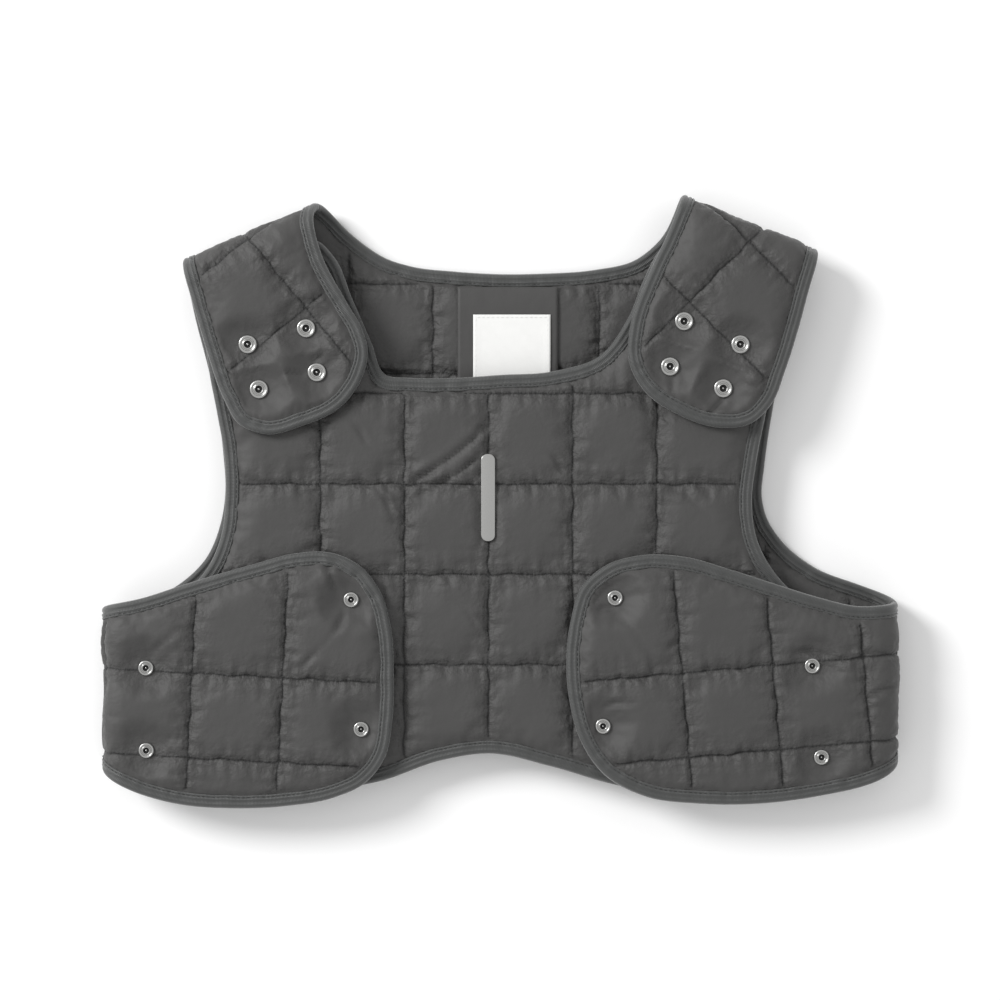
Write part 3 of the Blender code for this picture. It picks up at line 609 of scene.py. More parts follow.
    def creased(self, points):
        """The depth of the creases that lie across the panel at each point."""
        depths = np.zeros(len(points))
        for *ends, depth, width in CREASES.get(self.name, ()):
            start, end, depth, width = in_plan(*ends[:2]), in_plan(*ends[2:]), depth * MM, width * MM
            span = end - start
            length = np.linalg.norm(span)
            offset = points - start
            share = offset @ span / length**2
            side = (offset[:, 0] * span[1] - offset[:, 1] * span[0]) / length
            side = side + 1.2 * MM * np.sin(share * 5)
            taper = np.sin(np.clip(share, 0, 1) * math.pi) ** 0.6
            ridge = 0.75 * np.exp(-(((np.abs(side) - 1.9 * width) / width) ** 2))
            depths += depth * taper * (np.exp(-((side / width) ** 2)) - ridge)
        return depths


# How the simulated nylon behaves. It is simulated larger than it is, where the solver is steadier
SIMULATED_SCALE = 10
NYLON_SETTINGS = {
    "quality": 4,
    "mass": 0.3,
    "tension_stiffness": 30,
    "compression_stiffness": 30,
    "shear_stiffness": 12,
    "bending_stiffness": 0.6,
    "tension_damping": 8,
    "compression_damping": 8,
    "shear_damping": 8,
    "bending_damping": 0.6,
    "air_damping": 2,
    "use_pressure": True,
}


def blown_up(panel, points, faces, heights, margin):
    """The cloth's points after its filling has pushed it out between the seams."""
    scene = bpy.context.scene
    cloth = scene.vest_cloth
    seams = np.minimum(*panel.seam_distances(points)) < 0.1 * MM
    held = seams | (margin < 0) | (panel.free_share(points) == 0)
    if panel.turned:
        held |= distances(points, panel.turned) < 3 * MM
    mesh = bpy.data.meshes.new("filling")
    mesh.from_pydata(np.column_stack([points, heights]) * SIMULATED_SCALE, [], faces.tolist())
    filling = bpy.data.objects.new("filling", mesh)
    scene.collection.objects.link(filling)
    group = filling.vertex_groups.new(name="held")
    group.add(np.flatnonzero(held).tolist(), 1.0, "REPLACE")
    modifier = filling.modifiers.new("Cloth", "CLOTH")
    settings = modifier.settings
    for setting, value in NYLON_SETTINGS.items():
        setattr(settings, setting, value)
    settings.vertex_group_mass = "held"
    settings.shrink_min = settings.shrink_max = -cloth.slack
    settings.uniform_pressure_force = cloth.pressure
    settings.effector_weights.gravity = 0
    modifier.point_cache.frame_start = 1
    modifier.point_cache.frame_end = cloth.frames
    modifier.collision_settings.use_collision = False
    scene.frame_start, scene.frame_end = 1, cloth.frames
    for step in range(1, cloth.frames + 1):
        scene.frame_set(step)
    done = filling.evaluated_get(bpy.context.evaluated_depsgraph_get())
    moved = np.empty(len(points) * 3)
    done.data.vertices.foreach_get("co", moved)
    bpy.data.objects.remove(filling)
    scene.frame_set(1)
    return moved.reshape(-1, 3) / SIMULATED_SCALE


def under_bar(points):
    """How high the front may stand where the chest bar presses into it."""
    low, high = low_corner("chest_bar"), high_corner("chest_bar")
    beyond = np.maximum(np.maximum(low[:2] - points, points - high[:2]), 0)
    return low[2] - FRONT_LEVEL - 0.2 * MM + np.maximum(np.linalg.norm(beyond, axis=1) - MM, 0) * 0.9


def filled(panel, flat, faces, margin):
    """The cloth's points in plan and half its thickness at each: filled, puckered and creased."""
    points, heights = flat, panel.half_thickness(flat, margin)
    moved = blown_up(panel, flat, faces, heights, margin)
    shift = np.clip(moved[:, :2] - flat, -MOST_SHIFT, MOST_SHIFT)
    blown = np.where(np.isfinite(moved[:, 2]), moved[:, 2], heights)
    heights = heights + FILLING_SHARE * (blown - heights)
    points = flat + np.nan_to_num(shift)
    points = points + panel.wandered(flat) - flat
    heights = heights + panel.puckers(flat, margin) - panel.creased(flat)
    heights = np.maximum(heights, LEAST_HALF)
    knee = panel.limit - KNEE
    over = heights > knee
    heights[over] = knee + (panel.limit - knee) * np.tanh((heights[over] - knee) / (panel.limit - knee))
    if panel.name == "front_panel":
        heights = np.minimum(heights, under_bar(points))
    return points, heights


def rim_walls(faces, count):
    """The faces that join the two skins, along the sides that only one triangle has."""
    sides = np.concatenate([faces[:, [0, 1]], faces[:, [1, 2]], faces[:, [2, 0]]])
    codes = sides[:, 0] * count + sides[:, 1]
    back_codes = sides[:, 1] * count + sides[:, 0]
    rim = sides[~np.isin(codes, back_codes)]
    return np.column_stack([rim[:, 1], rim[:, 0], rim[:, 0] + count, rim[:, 1] + count])


def padded_mesh(panel):
    """The panel's closed mesh: its two quilted skins and the rim between them."""
    flat, faces = panel.triangulated()
    margin = distances(flat, panel.free) - LIP
    points, heights = filled(panel, flat, faces, margin)
    middle, count = panel.pulled(flat, margin), len(points)
    top = panel.layer.place(points, middle + heights)
    bottom = panel.layer.place(points, middle - heights)
    everything = [*faces.tolist(), *(faces[:, ::-1] + count).tolist(), *rim_walls(faces, count).tolist()]
    mesh = bpy.data.meshes.new(panel.name)
    mesh.from_pydata(np.concatenate([top, bottom]), [], everything)
    seams = np.minimum(*panel.seam_distances(flat))
    free = eased(margin / (3 * MM))
    step = bpy.context.scene.vest_cloth.mesh_step
    # The seam share drives painted shade: the material darkens the nylon along the quilt seams, standing in
    # for the shade in their creases. The gather share drives the bump of the puckers.
    for name, share in (
        ("seam", np.clip(1 - seams / step, 0, 1) * free),
        ("gather", np.exp(-seams / PUCKER_REACH) * free),
    ):
        shares = mesh.attributes.new(name, "FLOAT", "POINT")
        shares.data.foreach_set("value", np.concatenate([share, share]))
    pattern = mesh.uv_layers.new(name="pattern")
    corners = np.empty(len(mesh.loops), dtype=np.int32)
    mesh.loops.foreach_get("vertex_index", corners)
    pattern.data.foreach_set("uv", np.concatenate([points, points])[corners].ravel())
    mesh.shade_smooth()
    return mesh


@functools.cache
def vest_panels():
    """The six quilted panels, by name."""
    snaps = {name: [in_plan(*row) for row in rows] for name, rows in (WING_SNAPS | TAB_SNAPS).items()}
    every = [snap for group in snaps.values() for snap in group]
    back_edges = [edge[::-1] for edge in (BACK_NECK, BACK_RIGHT_ARMHOLE, BACK_HEM, BACK_LEFT_ARMHOLE)]
    back_layer = Layer(BACK_LEVEL, SIDE_FOLDS + SHOULDER_FOLDS, rises=False)
    made = [
        Panel("back_panel", back_layer, back_edges, BACK_QUILT, limit=BACK_MOST_HALF),
        Panel("front_panel", Layer(FRONT_LEVEL), [FRONT_OUTLINE], FRONT_QUILT, every, FRONT_SNAP_LEVEL),
    ]
    for name, fold, table, quilt in (
        ("left_wing", SIDE_FOLDS[0], LEFT_WING_EDGE, LEFT_WING_QUILT),
        ("right_wing", SIDE_FOLDS[1], RIGHT_WING_EDGE, RIGHT_WING_QUILT),
        ("left_tab", SHOULDER_FOLDS[0], LEFT_TAB_EDGE, LEFT_TAB_QUILT),
        ("right_tab", SHOULDER_FOLDS[1], RIGHT_TAB_EDGE, RIGHT_TAB_QUILT),
    ):
        made.append(Panel(name, Layer(TOP_LEVEL, [fold]), [table], quilt, snaps[name], TOP_SNAP_LEVEL))
    return {panel.name: panel for panel in made}


def bound_edges():
    """Each binding's name with its panel and its edge."""
    for panel in vest_panels().values():
        if panel.name == "back_panel":
            for place, edge in zip(("neck", "right_armhole", "hem", "left_armhole"), panel.edges):
                yield f"back_{place}_binding", panel, edge
        else:
            yield panel.name.replace("_panel", "") + "_binding", panel, panel.edges[0]


# Materials


class Wire:
    """A value that runs through a material's nodes, with the usual sums."""

    def __init__(self, surface, socket):
        self.surface, self.socket = surface, socket

    def sum(self, operation, first, second):
        node = self.surface.add("ShaderNodeMath", {0: first, 1: second}, operation=operation)
        return Wire(self.surface, node.outputs[0])

    def __add__(self, other):
        return self.sum("ADD", self, other)

    __radd__ = __add__

    def __mul__(self, other):
        return self.sum("MULTIPLY", self, other)

    __rmul__ = __mul__

    def __sub__(self, other):
        return self.sum("SUBTRACT", self, other)

    def __rsub__(self, other):
        return self.sum("SUBTRACT", other, self)


class Surface:
    """A material under construction. Flat values go straight to the shader's own sockets."""

    def __init__(self, name, **flat):
        self.material = bpy.data.materials.new(name)
        self.material.use_nodes = True
        self.tree = self.material.node_tree
        self.shader = self.tree.nodes["Principled BSDF"]
        for socket, value in flat.items():
            self.shader.inputs[socket.replace("_", " ")].default_value = value

    def add(self, kind, values=None, **settings):
        node = self.tree.nodes.new(kind)
        for setting, value in settings.items():
            setattr(node, setting, value)
        for name, value in (values or {}).items():
            self.feed(node.inputs[name], value)
        return node

    def feed(self, socket, value):
        if isinstance(value, Wire):
            self.tree.links.new(value.socket, socket)
        else:
            socket.default_value = value

    def out(self, node, name=0):
        return Wire(self, node.outputs[name])

    def pattern(self, name):
        return self.out(self.add("ShaderNodeUVMap", uv_map=name))

    def attribute(self, name):
        return self.out(self.add("ShaderNodeAttribute", attribute_name=name), "Fac")

    def solid(self):
        return self.out(self.add("ShaderNodeTexCoord"), "Object")

    def noise(self, place, scale, detail=2.0):
        values = {"Vector": place, "Scale": scale, "Detail": detail}
        return self.out(self.add("ShaderNodeTexNoise", values))

    def bands(self, place, pitch, direction):
        """Fine ridges at this pitch."""
        scale = 2 * math.pi / 20 / pitch
        kind = {"wave_type": "BANDS", "bands_direction": direction}
        return self.out(self.add("ShaderNodeTexWave", {"Vector": place, "Scale": scale}, **kind), 1)

    def mixed(self, factor, first, second):
        return self.out(self.add("ShaderNodeMix", {0: factor, 6: first, 7: second}, data_type="RGBA"), 2)

    def shaded(self, factor, dark, light):
        """Runs the base colour from dark to light."""
        self.feed(self.shader.inputs["Base Color"], self.mixed(factor, dark, light))

    def raised(self, height):
        """Raises the surface by a height in millimetres."""
        bump = self.add("ShaderNodeBump", {"Height": height, "Distance": MM})
        self.feed(self.shader.inputs["Normal"], self.out(bump))
        return self.material


def shade_of(colour, factor=1.0):
    return (*(min(1.0, part * factor) for part in colour), 1)


@functools.cache
def quilted_nylon():
    colour = bpy.context.scene.vest_cloth.colour
    nylon = Surface("quilted_nylon", Roughness=0.62, Sheen_Weight=0.15, Sheen_Roughness=0.4)
    place = nylon.pattern("pattern")
    cloth = nylon.mixed(nylon.noise(place, 30), shade_of(colour, 0.93), shade_of(colour, 1.07))
    # Painted shade: along the quilt seams the nylon's colour runs down to a fifth of itself, where the
    # creases lie in shade.
    seam, gather = nylon.attribute("seam"), nylon.attribute("gather")
    seam_shade_range = {"Value": seam, "From Min": 0.35, "From Max": 0.95}
    line = nylon.out(nylon.add("ShaderNodeMapRange", seam_shade_range))
    nylon.shaded(line * 0.85, cloth, shade_of(colour, 0.2))
    weave = nylon.bands(place, 0.5 * MM, "X") + nylon.bands(place, 0.5 * MM, "Y")
    crumple = nylon.noise(place, 230, 2.0) * gather * 2.3
    return nylon.raised(nylon.noise(place, 90, 3.0) * 0.45 + crumple + weave * 0.02)


@functools.cache
def binding_tape():
    colour = bpy.context.scene.vest_cloth.tape_colour
    tape = Surface("binding_tape", Roughness=0.45, Sheen_Weight=0.3)
    place = tape.pattern("tape")
    tape.shaded(tape.noise(place, 60), shade_of(colour, 0.9), shade_of(colour, 1.1))
    ribs = tape.bands(place, 0.9 * MM, "X") + tape.bands(place, 0.6 * MM, "Y") * 0.6
    return tape.raised(ribs * 0.09 + tape.noise(place, 150) * 0.35)


@functools.cache
def sewing_thread():
    colour = bpy.context.scene.vest_cloth.thread_colour
    return Surface("sewing_thread", Base_Color=shade_of(colour), Roughness=0.55).material


@functools.cache
def white_thread():
    colour = bpy.context.scene.vest_cloth.label_colour
    return Surface("white_thread", Base_Color=shade_of(colour, 0.9), Roughness=0.6).material


@functools.cache
def woven_label():
    colour = bpy.context.scene.vest_cloth.label_colour
    label = Surface("woven_label", Roughness=0.6)
    place = label.solid()
    label.shaded(label.noise(place, 200), shade_of(colour, 0.97), shade_of(colour, 1.03))
    weave = label.bands(place, 0.4 * MM, "X") + label.bands(place, 0.4 * MM, "Y")
    return label.raised(weave * 0.03)


@functools.cache
def satin_nickel():
    colour = bpy.context.scene.vest_trim.metal_colour
    nickel = Surface("satin_nickel", Base_Color=shade_of(colour), Metallic=1.0)
    rough = nickel.noise(nickel.solid(), 900) * 0.16 + 0.22
    nickel.feed(nickel.shader.inputs["Roughness"], rough)
    return nickel.material


# Painted shade: a near-black finish for the shallow floor round the snap's stud, standing in for the shade
# down its bore.
@functools.cache
def dark_bore():
    bore_shade_colour = (0.012, 0.012, 0.012, 1)
    return Surface("dark_bore", Base_Color=bore_shade_colour, Metallic=0.6, Roughness=0.5).material


# Pieces


def dressed(name, mesh, nodes, *finishes, slot=None):
    """Puts a finished mesh in the scene, in place of its solids. Its slot argument is not used."""
    for finish in finishes:
        mesh.materials.append(finish)
    piece = bpy.data.objects.new(name, mesh)
    bpy.context.scene.collection.objects.link(piece)
    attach(piece, "root")
    if nodes:
        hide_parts(*nodes)
    return piece


def mesh_of(name, bm, smooth=True):
    """The mesh of a closed bmesh, its doubles merged and its faces turned outwards."""
    bmesh.ops.remove_doubles(bm, verts=bm.verts, dist=0.005 * MM)
    bmesh.ops.recalc_face_normals(bm, faces=bm.faces)
    mesh = bpy.data.meshes.new(name)
    bm.to_mesh(mesh)
    bm.free()
    if smooth:
        mesh.shade_smooth()
    return mesh


# The tape's section in mm. Columns: depth from the free edge and height above the cloth's middle
TAPE_OUTSIDE = (
    (8.5, 2.05), (8.2, 2.35), (7.6, 2.45), (7.0, 1.90), (6.2, 2.55), (5.4, 2.65),
    (4.4, 1.80), (3.2, 2.55), (2.2, 2.60), (1.1, 2.10), (0.4, 1.30), (0.0, 0.00),
)
TAPE_INSIDE = ((1.0, 0.00), (1.6, 1.40), (5.0, 1.70), (8.4, 1.70))
STITCH_DEPTH, STITCH_HEIGHT = 7.0 * MM, 2.05 * MM


def unit_grid(bm, columns, rows):
    """A grid of faces, and its points as shares from 0 to 1 across and along."""
    bmesh.ops.create_grid(bm, x_segments=columns, y_segments=rows, size=0.5)
    grid = np.array([tuple(vert.co.xy) for vert in bm.verts])
    return (grid - grid.min(0)) / np.ptp(grid, axis=0)


def tape_section():
    """The closed section of the tape, round the cloth's edge and back along its inside."""
    under = [(depth, -height) for depth, height in TAPE_OUTSIDE[-2::-1]]
    inner_under = [(depth, -height) for depth, height in TAPE_INSIDE[:0:-1]]
    return np.array([*TAPE_OUTSIDE, *under, *inner_under, *TAPE_INSIDE, TAPE_OUTSIDE[0]]) * MM


def tape_mesh(name, panel, edge):
    """A strip of grid, bent round the free edge to the tape's section."""
    section = tape_section()
    points, rows, columns = edge.points, len(edge.points) - 1, len(section) - 1
    bm = bmesh.new()
    uv = bm.loops.layers.uv.new("tape")
    grid = unit_grid(bm, rows, columns)
    run = np.rint(grid[:, 0] * rows).astype(int)
    across = np.rint(grid[:, 1] * columns).astype(int)
    travelled, girth = travelled_along(points), travelled_along(section)
    depths, heights = section[across].T
    seed = Vector((3.1 * len(name), 0, 0))
    wave = [noise.noise(Vector((*p, 0)) * 120 + seed) for p in points]
    pucker = [noise.noise(Vector((*p, 0)) * 260 + seed * 2) for p in points]
    wave, pucker = np.array(wave)[run], np.array(pucker)[run]
    inner = eased(depths / BINDING_WIDTH)
    heights = heights * (1 + 0.16 * wave + 0.28 * pucker * inner)
    depths = depths * (1 + 0.05 * wave)
    placed = panel.layer.place(points[run] + edge.inward[run] * depths[:, None], heights)
    for vert, place, u, v in zip(bm.verts, placed, travelled[run], girth[across]):
        for loop in vert.link_loops:
            loop[uv].uv = (u, v)
        vert.co = place
    bmesh.ops.remove_doubles(bm, verts=bm.verts, dist=0.005 * MM)
    ends = [e for e in bm.edges if e.is_boundary]
    if ends:
        bmesh.ops.holes_fill(bm, edges=ends, sides=0)
    return mesh_of(name, bm)


def stitch_mesh(name, places, alongs, ups):
    """A row of thread stitches: one small stretched ball for each."""
    trim = bpy.context.scene.vest_trim
    bm = bmesh.new()
    bmesh.ops.create_icosphere(bm, subdivisions=1, radius=0.5)
    ball = np.array([tuple(vert.co) for vert in bm.verts])
    corners = np.array([[vert.index for vert in face.verts] for face in bm.faces])
    bm.free()
    ball = ball * (trim.stitch_length, trim.thread, trim.thread)
    sides = np.cross(ups, alongs)
    sides /= np.linalg.norm(sides, axis=1)[:, None]
    ups = np.cross(alongs, sides)
    axes = np.stack([alongs, sides, ups], axis=1)
    points = places[:, None] + np.einsum("vi,nij->nvj", ball, axes)
    faces = corners[None] + (np.arange(len(places)) * len(ball))[:, None, None]
    mesh = bpy.data.meshes.new(name)
    mesh.from_pydata(points.reshape(-1, 3), [], faces.reshape(-1, 3).tolist())
    mesh.shade_smooth()
    return mesh


def sewn(panel, points, directions, heights):
    """Where the stitches of a seam lie on both faces: places, directions and ways out."""
    middle = panel.pulled(points, distances(points, panel.free) - LIP)
    found = []
    for side in (1, -1):
        def placed(shift, lift):
            return panel.layer.place(points + shift, middle + side * (heights + lift))
        here = placed(0, 0)
        ahead = placed(directions * MM, 0) - placed(-directions * MM, 0)
        outward = placed(0, MM) - here
        ahead /= np.linalg.norm(ahead, axis=1)[:, None]
        outward /= np.linalg.norm(outward, axis=1)[:, None]
        found.append((here, ahead, outward))
    return [np.concatenate(part) for part in zip(*found)]


def quilt_stitches(panel):
    """The stitches along a panel's quilt seams."""
    pitch = bpy.context.scene.vest_trim.stitch_pitch
    rows = []
    for axis, other, gap, span in panel.directions:
        reach = (panel.outline - panel.origin) @ axis / gap
        run = (panel.outline - panel.origin) @ other
        first, last = max(math.floor(reach.min()), span[0]), min(math.ceil(reach.max()), span[1])
        for seam in range(first, last + 1):
            steps = np.arange(run.min(), run.max(), pitch)[:, None]
            line = panel.origin + axis * seam * gap + other * steps
            rows.append((line, np.broadcast_to(other, line.shape)))
    points = np.concatenate([row[0] for row in rows])
    directions = np.concatenate([row[1] for row in rows])
    margin = distances(points, panel.free) - LIP
    kept = inside(points, panel.outline) & (margin > 1.5 * MM) & (panel.free_share(points) > 0.05)
    points, directions, margin = points[kept], directions[kept], margin[kept]
    heights = panel.half_thickness(points, margin) + panel.puckers(points, margin)
    heights -= panel.creased(points)
    return sewn(panel, panel.wandered(points), directions, np.maximum(heights, LEAST_HALF) + 0.05 * MM)


def tape_stitches(panel, edge):
    """The stitches along a binding's inner edge."""
    pitch = bpy.context.scene.vest_trim.stitch_pitch
    line = edge.inset(STITCH_DEPTH)
    run = travelled_along(line)
    stops = np.arange(pitch, run[-1] - pitch / 2, pitch)
    points = np.column_stack([np.interp(stops, run, line[:, i]) for i in (0, 1)])
    directions = np.gradient(points, axis=0)
    directions /= np.maximum(np.linalg.norm(directions, axis=1), 1e-9)[:, None]
    return sewn(panel, points, directions, np.full(len(points), STITCH_HEIGHT))


def snap_mesh(name):
    """A closed ring snap: its ring, collar and stud above, its post, and its back flange."""
    low, high = low_corner(name), high_corner(name)
    middle, radius = (low + high) / 2, size_of(name)[0] / 2
    top = high[2] + SNAP_LIFT
    seat = top - 1.4 * MM
    post, flange, under = 2.6 * MM, radius - 1 * MM, low[2] + 1.2 * MM
    # Columns: share of the ring's radius and height, from the middle of the stud out over the ring
    above = (
        (0.00, seat + 0.45 * MM),
        (0.09, seat + 0.40 * MM),
        (0.13, seat + 0.20 * MM),
        (0.14, seat + 0.05 * MM),
        (0.35, seat + 0.05 * MM),
        (0.37, top - 0.50 * MM),
        (0.40, top - 0.12 * MM),
        (0.45, top),
        (0.50, top - 0.10 * MM),
        (0.55, top - 0.75 * MM),
        (0.63, top - 0.90 * MM),
        (0.70, top - 0.60 * MM),
        (0.76, top - 0.12 * MM),
        (0.86, top - 0.08 * MM),
        (0.94, top - 0.30 * MM),
        (1.00, top - 0.80 * MM),
        (0.99, seat + 0.15 * MM),
        (0.95, seat),
    )
    below = [
        (post, seat),
        (post, under),
        (flange, under),
        (flange + 0.2 * MM, under - 0.4 * MM),
        (flange - 0.4 * MM, low[2] + 0.1 * MM),
        (0.0, low[2]),
    ]
    profile = [(share * radius, height) for share, height in above] + below
    bm = bmesh.new()
    verts = [bm.verts.new((reach, 0, height)) for reach, height in profile]
    edges = [bm.edges.new(pair) for pair in zip(verts[:-1], verts[1:])]
    whole = {"axis": (0, 0, 1), "angle": 2 * math.pi, "steps": 48, "use_merge": True}
    bmesh.ops.spin(bm, geom=verts + edges, cent=(0, 0, 0), **whole)
    bmesh.ops.remove_doubles(bm, verts=bm.verts, dist=0.005 * MM)
    # The floor round the stud takes the second finish: painted shade for the snap's bore.
    for face in bm.faces:
        centre = face.calc_center_median()
        reach = math.hypot(centre.x, centre.y)
        if 0.08 * radius < reach < 0.38 * radius and centre.z > seat:
            face.material_index = 1
    bmesh.ops.translate(bm, verts=bm.verts, vec=(middle[0], middle[1], 0))
    return mesh_of(name, bm)


def plate_bm(node, columns, rows, height_at, thickness):
    """A thin plate over a solid's plan, its faces at a height that may vary."""
    low, high = low_corner(node), high_corner(node)
    bm = bmesh.new()
    grid = unit_grid(bm, columns, rows)
    plan = low[:2] + grid * (high - low)[:2]
    heights = height_at(plan, grid)
    for vert, place, height in zip(bm.verts, plan, heights):
        vert.co = (*place, height)
    raised = bmesh.ops.extrude_face_region(bm, geom=list(bm.faces), use_keep_orig=True)
    moved = [v for v in raised["geom"] if isinstance(v, bmesh.types.BMVert)]
    bmesh.ops.translate(bm, verts=moved, vec=(0, 0, thickness))
    return bm


def border_stitches(node, inset, height, pitch):
    """Stitches just inside a plate's border, at one height."""
    low, high = low_corner(node)[:2] + inset, high_corner(node)[:2] - inset
    corners = [low, (high[0], low[1]), high, (low[0], high[1])]
    places, ahead = [], []
    for start, end in zip(np.array(corners), np.array(corners[1:] + corners[:1])):
        count = max(2, round(np.linalg.norm(end - start) / pitch))
        shares = (np.arange(count) + 0.5)[:, None] / count
        places.append(start + (end - start) * shares)
        ahead.append(np.broadcast_to((end - start) / np.linalg.norm(end - start), (count, 2)))
    plan, ahead = np.concatenate(places), np.concatenate(ahead)
    level, flat = np.full(len(plan), height), np.zeros(len(plan))
    ups = np.tile([0.0, 0.0, 1.0], (len(plan), 1))
    return np.column_stack([plan, level]), np.column_stack([ahead, flat]), ups


class VEST_OT_quilted_panels(bpy.types.Operator):
    """Blow up the back, the front, the wings and the shoulder tabs between their seams"""

    bl_idname = "vest.quilted_panels"
    bl_label = "Quilted Panels"

    def execute(self, context):
        for panel in vest_panels().values():
            piece = dressed(f"{panel.name}_cloth", padded_mesh(panel), [panel.name], quilted_nylon())
        return {"FINISHED"}


class VEST_OT_bindings(bpy.types.Operator):
    """Bend tape round every free edge"""

    bl_idname = "vest.bindings"
    bl_label = "Bindings"

    def execute(self, context):
        for name, panel, edge in bound_edges():
            dressed(f"{name}_tape", tape_mesh(name, panel, edge), [name], binding_tape())
        return {"FINISHED"}


class VEST_OT_stitches(bpy.types.Operator):
    """Sew the quilt seams and the inner edges of the bindings"""

    bl_idname = "vest.stitches"
    bl_label = "Stitches"

    def execute(self, context):
        for panel in vest_panels().values():
            name = f"{panel.name}_quilt_stitches"
            sewing = stitch_mesh(name, *quilt_stitches(panel))
            dressed(name, sewing, [], sewing_thread(), slot="padded_fabric")
        for name, panel, edge in bound_edges():
            sewing = stitch_mesh(name, *tape_stitches(panel, edge))
            dressed(f"{name}_stitches", sewing, [], sewing_thread(), slot="binding_tape")
        return {"FINISHED"}


class VEST_OT_snaps(bpy.types.Operator):
    """Close the wings and the tabs with ring snaps"""

    bl_idname = "vest.snaps"
    bl_label = "Ring Snaps"

    def execute(self, context):
        for side, rows in (WING_SNAPS | TAB_SNAPS).items():
            for number in range(1, len(rows) + 1):
                node = f"{side}_snap_{number}"
                dressed(f"{node}_ring", snap_mesh(node), [node], satin_nickel(), dark_bore())
        return {"FINISHED"}


class VEST_OT_neck_patch(bpy.types.Operator):
    """Lay the plain facing inside the back of the neck"""

    bl_idname = "vest.neck_patch"
    bl_label = "Neck Patch"

    def execute(self, context):
        back = vest_panels()["back_panel"]
        thickness = 1.2 * MM

        def under(plan, grid):
            share = (distances(plan, back.free) - LIP) / EDGE_RISE + 0.15
            half = (PINCHED_THICKNESS + (PAD_THICKNESS - PINCHED_THICKNESS) * puffed(share)) / 2
            ripple = [noise.noise(Vector((*place, 0)) * 70) for place in plan]
            return BACK_LEVEL + half + CLEARANCE + 0.25 * MM * np.array(ripple)

        bm = plate_bm("neck_patch", 32, 46, under, thickness)
        mesh = mesh_of("neck_patch", bm)
        pattern = mesh.uv_layers.new(name="pattern")
        for loop in mesh.loops:
            pattern.data[loop.index].uv = mesh.vertices[loop.vertex_index].co.xy
        dressed("neck_patch_cloth", mesh, ["neck_patch"], quilted_nylon())
        return {"FINISHED"}


class VEST_OT_neck_label(bpy.types.Operator):
    """Sew the bare woven label on the neck patch"""

    bl_idname = "vest.neck_label"
    bl_label = "Neck Label"

    def execute(self, context):
        low = low_corner("neck_label")[2]
        thickness = 0.45 * MM

        def height(plan, grid):
            sides = np.abs(grid - 0.5) * 2
            lifted = 0.25 * MM * eased(sides[:, 0] * 4 - 3) * (1 - sides[:, 1] ** 4)
            ripple = [noise.noise(Vector((*place, 0)) * 60) for place in plan]
            return low + lifted + 0.06 * MM * np.array(ripple)

        bm = plate_bm("neck_label", 40, 38, height, thickness)
        piece = dressed("neck_label_cloth", mesh_of("neck_label", bm), ["neck_label"], woven_label())
        over = low + thickness + 0.08 * MM
        sewing = border_stitches("neck_label", 1.8 * MM, over, 3.2 * MM)
        name = "neck_label_stitches"
        dressed(name, stitch_mesh(name, *sewing), [], white_thread(), slot="label_cloth")
        return {"FINISHED"}


class VEST_OT_chest_bar(bpy.types.Operator):
    """Fix the plain slim metal bar on the chest"""

    bl_idname = "vest.chest_bar"
    bl_label = "Chest Bar"

    def execute(self, context):
        width, length, thickness = size_of("chest_bar")
        bm = bmesh.new()
        bmesh.ops.create_cube(bm, size=1)
        bmesh.ops.scale(bm, vec=(width, length, thickness), verts=bm.verts)
        rounded = {"affect": "EDGES", "profile": 0.5, "material": -1}
        upright = [e for e in bm.edges if abs(e.verts[0].co.z - e.verts[1].co.z) > thickness / 2]
        bmesh.ops.bevel(bm, geom=upright, offset=width * 0.45, segments=10, **rounded)
        rims = [e for e in bm.edges if abs(e.verts[0].co.z - e.verts[1].co.z) < thickness / 4]
        bmesh.ops.bevel(bm, geom=rims, offset=0.45 * MM, segments=4, **rounded)
        bmesh.ops.translate(bm, verts=bm.verts, vec=tuple(middle_of("chest_bar")))
        mesh = mesh_of("chest_bar", bm)
        dressed("chest_bar_metal", mesh, ["chest_bar"], satin_nickel())
        return {"FINISHED"}


# The studio: the key light's size in metres, power in watts and place, the sky and the view
KEY_SIZE, KEY_POWER, KEY_PLACE = 1.5, 135, (-2.9, 1.7, 2.5)
SKY_STRENGTH = 0.79
SENSOR, LENS = 36, 100
VIEW_WIDTH = 640 * MM


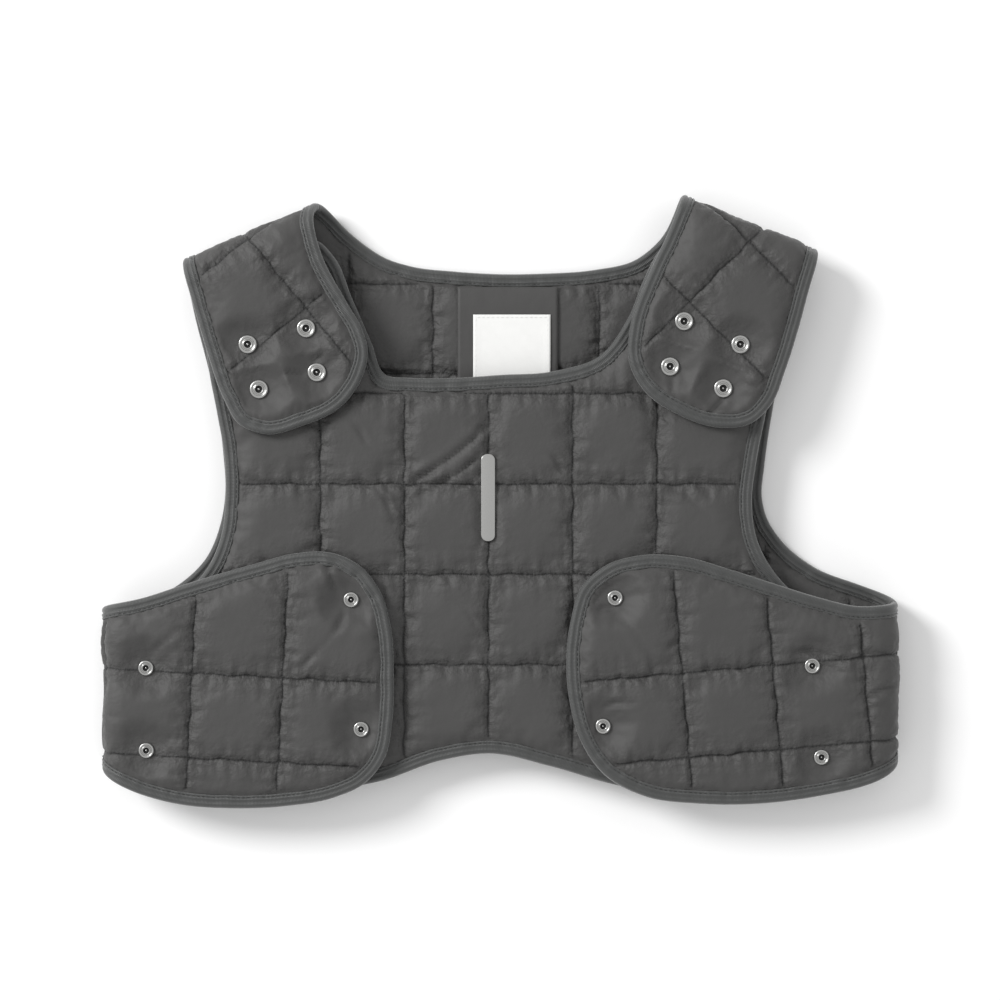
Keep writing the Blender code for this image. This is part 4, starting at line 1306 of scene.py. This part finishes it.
class VEST_OT_stage(bpy.types.Operator):
    """Set out the pale floor, the studio light and the camera above the vest"""

    bl_idname = "vest.stage"
    bl_label = "Stage"

    def execute(self, context):
        scene = context.scene
        bm = bmesh.new()
        bmesh.ops.create_grid(bm, x_segments=1, y_segments=1, size=3)
        floor_mesh = mesh_of("floor", bm, smooth=False)
        floor_mesh.materials.append(
            Surface("floor", Base_Color=shade_of(scene.vest_trim.floor_colour), Roughness=0.9).material
        )
        floor = bpy.data.objects.new("floor", floor_mesh)
        key = bpy.data.objects.new("key_light", bpy.data.lights.new("key_light", "AREA"))
        key.data.shape, key.data.size, key.data.energy = "DISK", KEY_SIZE, KEY_POWER
        key.location = KEY_PLACE
        camera = bpy.data.objects.new("camera", bpy.data.cameras.new("camera"))
        camera.data.sensor_width, camera.data.lens = SENSOR, LENS
        camera.location = (0, 0, VIEW_WIDTH * LENS / SENSOR + PAD_THICKNESS * 3)
        for piece in (floor, key, camera):
            scene.collection.objects.link(piece)
        key.rotation_euler = (-key.location).to_track_quat("-Z", "Y").to_euler()
        scene.camera = camera
        world = bpy.data.worlds.new("studio")
        world.use_nodes = True
        background = world.node_tree.nodes["Background"]
        background.inputs["Color"].default_value = (1.0, 1.0, 1.0, 1)
        background.inputs["Strength"].default_value = SKY_STRENGTH
        scene.world = world
        scene.view_settings.view_transform = "Standard"
        return {"FINISHED"}


PIECE_OPERATORS = (
    VEST_OT_quilted_panels,
    VEST_OT_bindings,
    VEST_OT_stitches,
    VEST_OT_snaps,
    VEST_OT_neck_patch,
    VEST_OT_neck_label,
    VEST_OT_chest_bar,
    VEST_OT_stage,
)


class VEST_PT_pieces(bpy.types.Panel):
    """Lists the settings and the pieces of the vest"""

    bl_label = "Quilted Vest"
    bl_idname = "VEST_PT_pieces"
    bl_space_type = "VIEW_3D"
    bl_region_type = "UI"
    bl_category = "Vest"

    def draw(self, context):
        for settings in (context.scene.vest_cloth, context.scene.vest_trim):
            column = self.layout.column(align=True)
            for name in settings.__annotations__:
                column.prop(settings, name)
        column = self.layout.column(align=True)
        for operator in PIECE_OPERATORS:
            column.operator(operator.bl_idname)


CLASSES = (VestCloth, VestTrim, *PIECE_OPERATORS, VEST_PT_pieces)


def register():
    for cls in CLASSES:
        bpy.utils.register_class(cls)
    bpy.types.Scene.vest_cloth = PointerProperty(type=VestCloth)
    bpy.types.Scene.vest_trim = PointerProperty(type=VestTrim)


def unregister():
    del bpy.types.Scene.vest_trim
    del bpy.types.Scene.vest_cloth
    for cls in reversed(CLASSES):
        bpy.utils.unregister_class(cls)


def main():
    register()
    for operator in PIECE_OPERATORS:
        group, name = operator.bl_idname.split(".")
        getattr(getattr(bpy.ops, group), name)()


if __name__ == "__main__":
    main()
